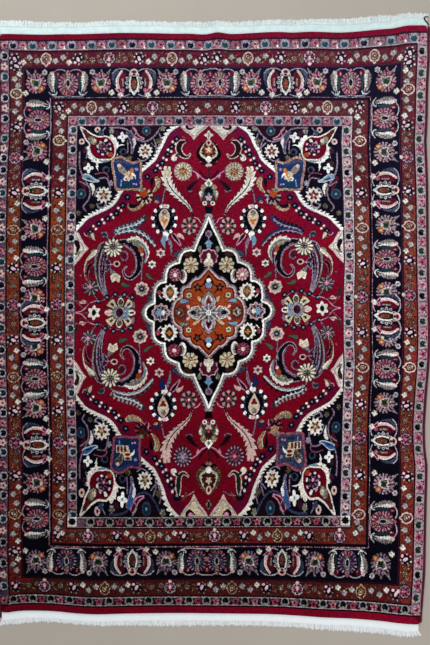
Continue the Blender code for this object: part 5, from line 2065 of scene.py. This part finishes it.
def build_web(node, end, material, web_top, inner, outer, low, high):
    """The flat-woven strip: ridges of weft that run along the end."""
    x = np.linspace(low, high, WEB_STATIONS)
    ridges = int((outer - inner) / WEFT_PITCH)
    steps = np.linspace(0, 1, 2 * ridges + 1)
    dice = np.random.default_rng(11 + end)
    sway = np.interp(x, np.linspace(low, high, 60), dice.uniform(-1, 1, 60)) * WEB_SWAY
    edge = end_edge(end, x)
    rings = []
    for k, step in enumerate(steps):
        out = inner + (outer - inner) * step + sway * math.sin(math.pi * step) + sway * 1.2 * step ** 3
        rounding = WEB_ROUNDING * (1 - math.sin(math.pi * min(max(step, 0.03), 0.97)) ** 0.3)
        lift = web_top - (WEFT_RELIEF if k % 2 == 0 else 0.0) - rounding
        rings.append(np.stack([x, edge + end * out, np.full_like(x, lift)], axis=-1))
    first, last = rings[0].copy(), rings[-1].copy()
    first[:, 2] = FOOT_LIFT
    last[:, 2] = FOOT_LIFT
    rings = np.stack([first] + rings + [last])
    count = rings.shape[0]
    index = np.arange(count * len(x)).reshape(count, len(x))
    a, b, c, d = index[:-1, :-1], index[:-1, 1:], index[1:, 1:], index[1:, :-1]
    order = (a, b, c, d) if end > 0 else (d, c, b, a)
    faces = np.stack(order, axis=-1).reshape(-1, 4)
    piece = new_piece(node + "_weave", rings.reshape(-1, 3), faces, material)
    u = np.broadcast_to(x[None, :] / WEFT_PITCH, (count, len(x)))
    v = np.broadcast_to(np.arange(count)[:, None] / 2.0, (count, len(x)))
    lay_uv(piece.data, "weave", np.stack([u.ravel(), v.ravel()], axis=1)[faces.ravel()])
    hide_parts(node)
    return piece


def sideways(route):
    """Unit directions across and above a route, at each of its points."""
    along = np.gradient(route, axis=0)
    along /= np.linalg.norm(along, axis=1)[:, None]
    across = np.cross(along, (0, 0, 1.0))
    across /= np.linalg.norm(across, axis=1)[:, None]
    return across, np.cross(across, along)


def tube(route, radius, sides):
    """Rings of points around a route, (n, sides, 3)."""
    across, up = sideways(route)
    turn = 2 * math.pi * (np.arange(sides) + 0.5) / sides
    radius = np.broadcast_to(radius, len(route))[:, None, None]
    return (route[:, None, :] + radius * (across[:, None, :] * np.cos(turn)[None, :, None]
                                          + up[:, None, :] * np.sin(turn)[None, :, None]))


def tube_faces(rings, sides, base):
    """Side faces of a tube of rings, and its two end faces where sides is 4."""
    index = base + np.arange(rings * sides).reshape(rings, sides)
    following = np.roll(index, -1, axis=1)
    faces = np.stack([index[:-1], index[1:], following[1:], following[:-1]], axis=-1).reshape(-1, 4)
    if sides == 4:
        faces = np.vstack([faces, index[0][None, :], index[-1][None, ::-1]])
    return faces


def build_fringe(node, end, material, outer, low, high):
    """Loose warp ends in locks, each a few strands of cotton yarn."""
    node_corners = node_points(node)
    middles = level_middles(node_corners, LOCK_MIDDLE_LEVEL)
    tips = level_middles(node_corners, LOCK_TIP_LEVEL)
    locks = len(tips)
    pitch = (high - low) / (locks - LOCK_SPARE)
    dice = np.random.default_rng(29 + end)
    points, faces, shades = [], [], []
    share = np.linspace(0, 1, STRAND_STEPS)[:, None]
    taper = np.interp(share[:, 0], (0, 0.8, 1), (1.0, 1.0, 0.75))
    for k in range(locks):
        centre = low + pitch * (FIRST_LOCK + k)
        root = np.array([centre, float(end_edge(end, centre)) + end * (outer - ROOT_DEPTH), 0])
        twist = dice.uniform(-0.5, 0.5)
        for j in range(STRANDS_PER_LOCK):
            place = (j + 0.5) / STRANDS_PER_LOCK - 0.5
            layer = LOWER_LAYER + LAYER_STEP * (j % 2) + dice.uniform(0, 0.0002)
            start = root + (place * pitch * 0.98, 0, 0)
            start[2] = layer + 0.0001
            spread = 0.84 + dice.uniform(-0.12, 0.26)
            half_way = middles[k] + (place * pitch * (spread + 0.10) + dice.normal(0, 0.0005), 0, 0)
            half_way[2] = layer
            aside = place * pitch * spread + dice.normal(0, 0.0009)
            beyond = end * (dice.uniform(*TIP_RAGGED) + TIP_REACH[end])
            tip = tips[k] + (aside, beyond, 0)
            tip[2] = LOWER_LAYER + TIP_LAYER_STEP * (j % 2)
            bend = 2 * half_way - (start + tip) / 2
            curve = start * (1 - share) ** 2 + 2 * share * (1 - share) * bend + tip * share ** 2
            curve[:, 0] += 0.0005 * np.sin(share[:, 0] * 7 + twist + j)
            curve[:, 2] = np.maximum(curve[:, 2], STRAND_FLOOR)
            radius = STRAND_RADIUS * dice.uniform(0.85, 1.12) * taper
            rings = tube(curve, radius, STRAND_SIDES)
            faces.append(tube_faces(STRAND_STEPS, STRAND_SIDES,
                                    len(points) * STRAND_STEPS * STRAND_SIDES))
            points.append(rings.reshape(-1, 3))
            shades.append(dice.uniform(0, 1))
    faces = np.vstack(faces)
    piece = new_piece(node + "_strands", np.vstack(points), faces, material)
    corners = faces.ravel()
    strand, corner = np.divmod(corners, STRAND_STEPS * STRAND_SIDES)
    shade = np.array(shades)[strand] * 97 + (corners % STRAND_SIDES) / 4
    way = corner // STRAND_SIDES / (STRAND_STEPS - 1)
    lay_uv(piece.data, "strands", np.stack([shade, way], axis=1))
    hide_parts(node)
    return piece


def build_cotton_end(name, end, web_material, strand_material):
    """One end of the rug: its flat-woven strip and the fringe of warp ends."""
    node = f"fringed_end_{name}"
    points = node_points(node)
    web_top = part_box(node)[1][2]
    rim = points[np.abs(points[:, 2] - web_top) < LEVEL_MATCH]
    low, high = rim[:, 0].min(), rim[:, 0].max()
    out = end * (rim[:, 1] - end_edge(end, rim[:, 0]))
    inner, outer = float(np.percentile(out, 2)), float(np.percentile(out, 98))
    web = build_web(node, end, web_material, web_top, inner, outer, low, high)
    fringe = build_fringe(node, end, strand_material, outer, low, high)
    return [web, fringe]


# ---- Loose yarn end -------------------------------------------------------------------------

TAIL_RADIUS = 0.0032
TAIL_TURNS = 9
TAIL_PLIES = 3
TAIL_SIDES = 8
# Places along the yarn end: shares of its box to the right and to the far end, and of its radius.
TAIL_ROUTE = ((0.90, 0.02, 0.60), (0.66, 0.20, 0.85), (0.42, 0.38, 1.0), (0.22, 0.56, 1.0),
              (0.11, 0.72, 0.95), (0.16, 0.86, 0.88), (0.40, 0.94, 0.75), (0.72, 0.93, 0.5))


def build_yarn_tail(material):
    """Plies of yarn twisted around each other along the CAD yarn end."""
    low, high = (np.array(corner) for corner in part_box("yarn_tail"))
    span = high - low
    fine = smooth([(x, y) for x, y, _ in TAIL_ROUTE], steps=12)
    share = np.linspace(0, 1, len(fine))
    sizes = np.interp(share, np.linspace(0, 1, len(TAIL_ROUTE)), [size for _, _, size in TAIL_ROUTE])
    radius = TAIL_RADIUS * sizes
    x, y = low[0] + span[0] * fine[:, 0], low[1] + span[1] * fine[:, 1]
    middle = np.stack([x, y, low[2] + radius], axis=-1)
    across, up = sideways(middle)
    points, faces = [], []
    for ply in range(TAIL_PLIES):
        turn = 2 * math.pi * (TAIL_TURNS * share + ply / TAIL_PLIES)
        aside = across * np.cos(turn)[:, None] + up * np.sin(turn)[:, None]
        rings = tube(middle + aside * (0.48 * radius)[:, None], 0.56 * radius, TAIL_SIDES)
        faces.append(tube_faces(len(middle), TAIL_SIDES, ply * len(middle) * TAIL_SIDES))
        points.append(rings.reshape(-1, 3))
    piece = new_piece("yarn_tail_twisted", np.vstack(points), np.vstack(faces), material)
    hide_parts("yarn_tail")
    return piece


# ---- Materials ------------------------------------------------------------------------------


class Nodes:
    """Short writing of a material's nodes."""

    def __init__(self, name):
        self.material = bpy.data.materials.new(name)
        self.material.use_nodes = True
        self.tree = self.material.node_tree
        self.shader = self.tree.nodes["Principled BSDF"]

    def add(self, kind, settings=None, **inputs):
        node = self.tree.nodes.new(kind)
        for key, value in (settings or {}).items():
            setattr(node, key, value)
        for key, value in inputs.items():
            self.put(node.inputs[key.replace("_", " ")], value)
        return node

    def put(self, socket, value):
        if isinstance(value, bpy.types.NodeSocket):
            self.tree.links.new(value, socket)
        elif isinstance(value, bpy.types.Node):
            self.tree.links.new(value.outputs[0], socket)
        else:
            socket.default_value = value

    def maths(self, operation, *values):
        node = self.tree.nodes.new("ShaderNodeMath")
        node.operation = operation
        for socket, value in zip(node.inputs, values):
            self.put(socket, value)
        return node.outputs[0]

    def uv(self, name):
        return self.add("ShaderNodeUVMap", {"uv_map": name}).outputs[0]

    def noise(self, where, scale, detail=2.0, roughness=0.5):
        node = self.add("ShaderNodeTexNoise", Scale=scale, Detail=detail, Roughness=roughness)
        self.put(node.inputs["Vector"], where)
        return node.outputs["Fac"]

    def spread(self, value, low, high, new_low, new_high):
        node = self.tree.nodes.new("ShaderNodeMapRange")
        for socket, item in zip(node.inputs, (value, low, high, new_low, new_high)):
            self.put(socket, item)
        return node.outputs[0]

    def mixed(self, blend_type, factor, a, b):
        node = self.tree.nodes.new("ShaderNodeMix")
        node.data_type = "RGBA"
        node.blend_type = blend_type
        self.put(node.inputs[0], factor)
        self.put(node.inputs[6], a)
        self.put(node.inputs[7], b)
        return node.outputs[2]

    def scaled(self, where, x, y):
        node = self.add("ShaderNodeVectorMath", {"operation": "MULTIPLY"})
        self.put(node.inputs[0], where)
        node.inputs[1].default_value = (x, y, 1.0)
        return node.outputs[0]

    def fade(self, knot_place, terms):
        """The chart-wide change of the painted haze or the painted light at a knot, from a row of four
        terms.
        """
        a, b, c, d = terms
        down = self.maths("MULTIPLY", knot_place.outputs[1], -1 / ROWS)
        right = self.maths("MULTIPLY_ADD", knot_place.outputs[0], d / COLUMNS, a - d / 2)
        bend = self.maths("MULTIPLY_ADD", down, c, b)
        return self.maths("MULTIPLY_ADD", down, bend, right)

    def side_light(self, knot_place):
        """Light that falls along the right side only, more of it at the near end."""
        down = self.maths("MULTIPLY", knot_place.outputs[1], -1 / ROWS)
        across = self.maths("MULTIPLY", knot_place.outputs[0], 1 / COLUMNS)
        return self.maths("MULTIPLY", self.maths("MULTIPLY", down, SIDE_LIGHT),
                          self.maths("POWER", across, 5.0))

    def place(self):
        return self.add("ShaderNodeTexCoord").outputs["Object"]

    def bump(self, height, distance, strength=1.0):
        node = self.add("ShaderNodeBump", Strength=strength, Distance=distance)
        self.put(node.inputs["Height"], height)
        return node.outputs[0]

    def finish(self, colour, roughness, normal, sheen=0.0, gloss=0.1):
        self.put(self.shader.inputs["Base Color"], colour)
        self.put(self.shader.inputs["Roughness"], roughness)
        self.put(self.shader.inputs["Normal"], normal)
        self.shader.inputs["Sheen Weight"].default_value = sheen
        self.shader.inputs["Sheen Roughness"].default_value = 0.45
        self.shader.inputs["Specular IOR Level"].default_value = gloss
        return self.material


def knotted_wool(name, pile=True):
    """Wool knots in the chart's yarns: each a little different, faded in bands, with nap and painted
    sheen and light.
    """
    nodes = Nodes(name)
    knots = nodes.uv("knots")
    yarn = nodes.add("ShaderNodeAttribute", {"attribute_name": "yarn"}).outputs["Color"]
    cell = nodes.add("ShaderNodeTexWhiteNoise", {"noise_dimensions": "2D"})
    floor = nodes.add("ShaderNodeVectorMath", {"operation": "FLOOR"})
    nodes.put(floor.inputs[0], knots)
    nodes.put(cell.inputs["Vector"], floor.outputs[0])
    per_knot = nodes.spread(cell.outputs["Value"], 0, 1, 0.58, 1.42)
    clumps = nodes.noise(nodes.scaled(knots, 0.20, 0.24), 1.0, 2.0, 0.6)
    per_knot = nodes.maths("MULTIPLY", per_knot, nodes.spread(clumps, 0.35, 0.65, 0.74, 1.26))
    # Bands along the weft are changes of dye; patches are painted sheen where the pile leans.
    bands = nodes.noise(nodes.scaled(knots, 0.0012, 0.035), 1.0, 3.0)
    patches = nodes.noise(nodes.scaled(knots, 0.010, 0.014), 1.0, 4.0, 0.6)
    dye_bands_and_sheen = nodes.maths("MULTIPLY", nodes.spread(bands, 0.3, 0.7, 0.90, 1.10),
                       nodes.spread(patches, 0.25, 0.75, 0.80, 1.20))
    value = nodes.maths("MULTIPLY", per_knot, dye_bands_and_sheen)
    split = nodes.add("ShaderNodeSeparateXYZ")
    nodes.put(split.inputs[0], knots)
    # Painted light and haze that change over the rug, and painted light along the right side.
    gamma, level = (nodes.fade(split, terms) for terms in (PAINTED_HAZE_GAMMA, PAINTED_LIGHT_LEVEL))
    level = nodes.maths("ADD", level, nodes.side_light(split))
    seen = nodes.add("ShaderNodeGamma", Color=yarn, Gamma=gamma)
    drift = nodes.noise(nodes.scaled(knots, 0.022, 0.05), 1.0, 3.0)
    turn = nodes.spread(drift, 0.32, 0.68, 0.4955, 0.5045)
    shade = nodes.add("ShaderNodeHueSaturation", Hue=turn, Value=nodes.maths("MULTIPLY", value, level),
                      Color=seen)
    nap = nodes.noise(nodes.scaled(knots, 1.3, 1.3), 1.0, 3.0, 0.7)
    height = nodes.maths("ADD", nodes.maths("MULTIPLY", cell.outputs["Value"], 0.35), nap)
    normal = nodes.bump(height, 0.0010 if pile else 0.0004, 0.55)
    roughness = nodes.spread(nap, 0.2, 0.8, 0.82, 0.98)
    return nodes.finish(shade.outputs[0], roughness, normal, 0.02, 0.04)


def plain_weave(name, light, blotch_grey):
    """Bleached cotton, woven plain, a little greyer in blotches."""
    nodes = Nodes(name)
    weave = nodes.uv("weave")
    warp = nodes.add("ShaderNodeTexWave",
                     {"wave_type": "BANDS", "bands_direction": "X", "wave_profile": "SIN"}, Scale=0.16,
                     Distortion=0.6, Detail=1.0)
    nodes.put(warp.inputs["Vector"], weave)
    blotch = nodes.noise(nodes.place(), 34.0, 4.0, 0.6)
    fibre = nodes.noise(nodes.place(), 900.0, 3.0, 0.7)
    shade = nodes.mixed("MIX", nodes.spread(blotch, 0.35, 0.72, 0.0, 1.0), light, blotch_grey)
    shade = nodes.mixed("MULTIPLY", nodes.spread(fibre, 0.3, 0.7, 0.25, 0.0), shade,
                        (0.70, 0.72, 0.74, 1))
    height = nodes.maths("ADD", warp.outputs["Fac"], nodes.maths("MULTIPLY", fibre, 0.6))
    return nodes.finish(shade, nodes.spread(fibre, 0, 1, 0.80, 0.98), nodes.bump(height, 0.0005, 0.6),
                        0.05)


def cotton_strands(name, light, deep, share):
    """Loose cotton warps, some greyer than others, whiter again at their tips."""
    nodes = Nodes(name)
    strands = nodes.uv("strands")
    split = nodes.add("ShaderNodeSeparateXYZ")
    nodes.put(split.inputs[0], strands)
    tone = nodes.add("ShaderNodeTexWhiteNoise", {"noise_dimensions": "1D"})
    nodes.put(tone.inputs["W"], nodes.maths("FLOOR", split.outputs[0]))
    fibre = nodes.noise(nodes.place(), 1100.0, 3.0, 0.7)
    along = nodes.maths("MULTIPLY", nodes.spread(split.outputs[1], 0.0, 0.35, 0.3, 1.0),
                        nodes.spread(split.outputs[1], 0.6, 1.0, 1.0, 0.25))
    patch = nodes.spread(nodes.noise(nodes.place(), 9.0, 3.0), 0.35, 0.65, 0.35, 1.0)
    grey = nodes.maths("MULTIPLY", nodes.spread(tone.outputs["Value"], 0.25, 1.0, 0.0, share),
                       nodes.maths("MULTIPLY", along, patch))
    shade = nodes.mixed("MIX", grey, light, deep)
    shade = nodes.mixed("MULTIPLY", nodes.spread(fibre, 0.3, 0.7, 0.3, 0.0), shade,
                        (0.7, 0.72, 0.75, 1))
    return nodes.finish(shade, nodes.spread(fibre, 0, 1, 0.80, 0.98), nodes.bump(fibre, 0.0004, 0.5),
                        0.1)


def wound_yarn(name, light, deep, turns):
    """Wool yarn wound or twisted: fibres, and turns of slightly different dye."""
    nodes = Nodes(name)
    place = nodes.place()
    fibre = nodes.noise(place, 700.0, 3.0, 0.7)
    if turns:
        split = nodes.add("ShaderNodeSeparateXYZ")
        nodes.put(split.inputs[0], nodes.uv("turns"))
        tone = nodes.add("ShaderNodeTexWhiteNoise", {"noise_dimensions": "1D"})
        nodes.put(tone.inputs["W"], nodes.maths("FLOOR", nodes.maths("ADD", split.outputs[0], 0.5)))
        tint = tone.outputs["Value"]
    else:
        tint = nodes.noise(place, 120.0, 2.0)
    long_tone = nodes.noise(nodes.scaled(place, 4.0, 9.0), 1.0, 3.0)
    share = nodes.maths("ADD", nodes.maths("MULTIPLY", tint, 0.5),
                        nodes.spread(long_tone, 0.35, 0.65, 0.0, 0.5))
    shade = nodes.mixed("MIX", share, light, deep)
    shade = nodes.mixed("MULTIPLY", nodes.spread(fibre, 0.3, 0.7, 0.5, 0.0), shade, (0.5, 0.45, 0.5, 1))
    return nodes.finish(shade, nodes.spread(fibre, 0, 1, 0.75, 0.95), nodes.bump(fibre, 0.0005, 0.6),
                        0.2)


def woven_ground(name):
    """Cotton warps and wefts of the foundation, nearly hidden by the knots."""
    nodes = Nodes(name)
    fibre = nodes.noise(nodes.place(), 500.0, 2.0)
    shade = nodes.mixed("MIX", fibre, (0.30, 0.20, 0.18, 1), (0.12, 0.05, 0.06, 1))
    return nodes.finish(shade, 0.95, nodes.bump(fibre, 0.0004, 0.5))


def floor_material(name):
    """Pale matt studio floor."""
    nodes = Nodes(name)
    grain = nodes.noise(nodes.place(), 6.0, 4.0)
    shade = nodes.mixed("MIX", grain, (0.44, 0.39, 0.33, 1), (0.48, 0.43, 0.37, 1))
    return nodes.finish(shade, 0.9, nodes.bump(grain, 0.0005, 0.2))


# ---- Stage ----------------------------------------------------------------------------------

PHOTO_WIDTH, PHOTO_HEIGHT = 430, 645
VIEW_CENTRE = (0.0122, 0.0088)
VIEW_WIDTH = PHOTO_WIDTH * CHART_UNIT
CAMERA_HEIGHT = 3.2
SENSOR = 36.0
FLOOR_HALF = 6.0
# Name, place, size, power and colour of each area light; all aim at the middle of the rug.
LIGHTS = (
    ("window", (-1.2, 3.4, 3.0), 2.2, 106, (0.95, 0.98, 1.0)),
    ("fill", (1.5, -2.6, 3.4), 2.6, 49, (1.0, 0.99, 0.98)),
)
SKY_COLOUR, SKY_STRENGTH = (0.95, 0.97, 1.0, 1), 0.49


def build_floor():
    """The plain floor under the rug."""
    mesh = bpy.data.meshes.new("floor")
    corners = [(x * FLOOR_HALF, y * FLOOR_HALF, 0) for x, y in ((-1, -1), (1, -1), (1, 1), (-1, 1))]
    mesh.from_pydata(corners, [], [(0, 1, 2, 3)])
    mesh.materials.append(floor_material("pale_floor"))
    floor = bpy.data.objects.new("floor", mesh)
    bpy.context.scene.collection.objects.link(floor)


def add_light(name, place, size, power, colour):
    """A square area light that aims at the middle of the rug."""
    light = bpy.data.lights.new(name, "AREA")
    light.shape = "SQUARE"
    light.size = size
    light.energy = power
    light.color = colour
    lamp = bpy.data.objects.new(name, light)
    bpy.context.scene.collection.objects.link(lamp)
    lamp.location = place
    aim = -np.array(place, float)
    flat = math.hypot(aim[0], aim[1])
    lamp.rotation_euler = (math.atan2(flat, -aim[2]), 0, math.atan2(aim[1], aim[0]) - math.pi / 2)


def build_stage():
    """Floor, lights, sky and the camera that sees what the photo shows."""
    build_floor()
    for light in LIGHTS:
        add_light(*light)
    world = bpy.data.worlds.new("studio")
    world.use_nodes = True
    sky = world.node_tree.nodes["Background"]
    sky.inputs["Color"].default_value = SKY_COLOUR
    sky.inputs["Strength"].default_value = SKY_STRENGTH
    bpy.context.scene.world = world
    bpy.context.scene.view_settings.view_transform = "Standard"
    camera_data = bpy.data.cameras.new("camera")
    camera_data.sensor_fit = "VERTICAL"
    camera_data.sensor_height = SENSOR
    distance = CAMERA_HEIGHT - PILE_TOP
    camera_data.lens = SENSOR * distance / (VIEW_WIDTH * PHOTO_HEIGHT / PHOTO_WIDTH)
    camera = bpy.data.objects.new("camera", camera_data)
    camera.location = (*VIEW_CENTRE, CAMERA_HEIGHT)
    bpy.context.scene.collection.objects.link(camera)
    bpy.context.scene.camera = camera


# ---- The rug --------------------------------------------------------------------------------
# Two colours of each wool or cotton, light and deep.

WRAPPED_WOOL = ((0.145, 0.010, 0.040, 1), (0.060, 0.006, 0.022, 1))
LOOSE_WOOL = ((0.10, 0.008, 0.020, 1), (0.03, 0.003, 0.008, 1))
FAR_STRANDS = ((0.92, 1.0, 0.98, 1), (0.66, 0.76, 0.76, 1))
# Painted light: the near end's strands are a paler copy, since less light falls on the near end.
NEAR_STRANDS_LIT = ((0.98, 1.0, 1.0, 1), (0.93, 1.0, 1.0, 1))
FAR_WEAVE = ((0.76, 0.92, 0.90, 1), (0.62, 0.76, 0.74, 1))
# Painted light: the near end's weave is a paler copy too.
NEAR_WEAVE_LIT = ((0.97, 1.0, 1.0, 1), (0.90, 0.97, 0.98, 1))


def main():
    """Paints the chart, then builds every piece of the rug and the stage."""
    paint_borders()
    paint_field()
    plain = chart.copy()
    mottle()
    strips = build_pile(knotted_wool("wool_pile"))
    back = build_back(plain, knotted_wool("wool_back", pile=False))
    foundation = build_foundation(woven_ground("ground_weave"))
    wrapped = wound_yarn("overcast_wool", *WRAPPED_WOOL, True)
    sides = [build_selvedge(name, wrapped) for name in ("left", "right")]
    far_strands = cotton_strands("cotton_strands", *FAR_STRANDS, 0.85)
    # The near end's cotton materials are copies painted paler, as painted light.
    near_strands_lit = cotton_strands("cotton_strands_near_lit", *NEAR_STRANDS_LIT, 0.4)
    far_web = plain_weave("cotton_weave", *FAR_WEAVE)
    near_web_lit = plain_weave("cotton_weave_near_lit", *NEAR_WEAVE_LIT)
    ends = build_cotton_end("far", 1, far_web, far_strands)
    ends += build_cotton_end("near", -1, near_web_lit, near_strands_lit)
    tail = build_yarn_tail(wound_yarn("loose_yarn", *LOOSE_WOOL, False))
    build_stage()


main()
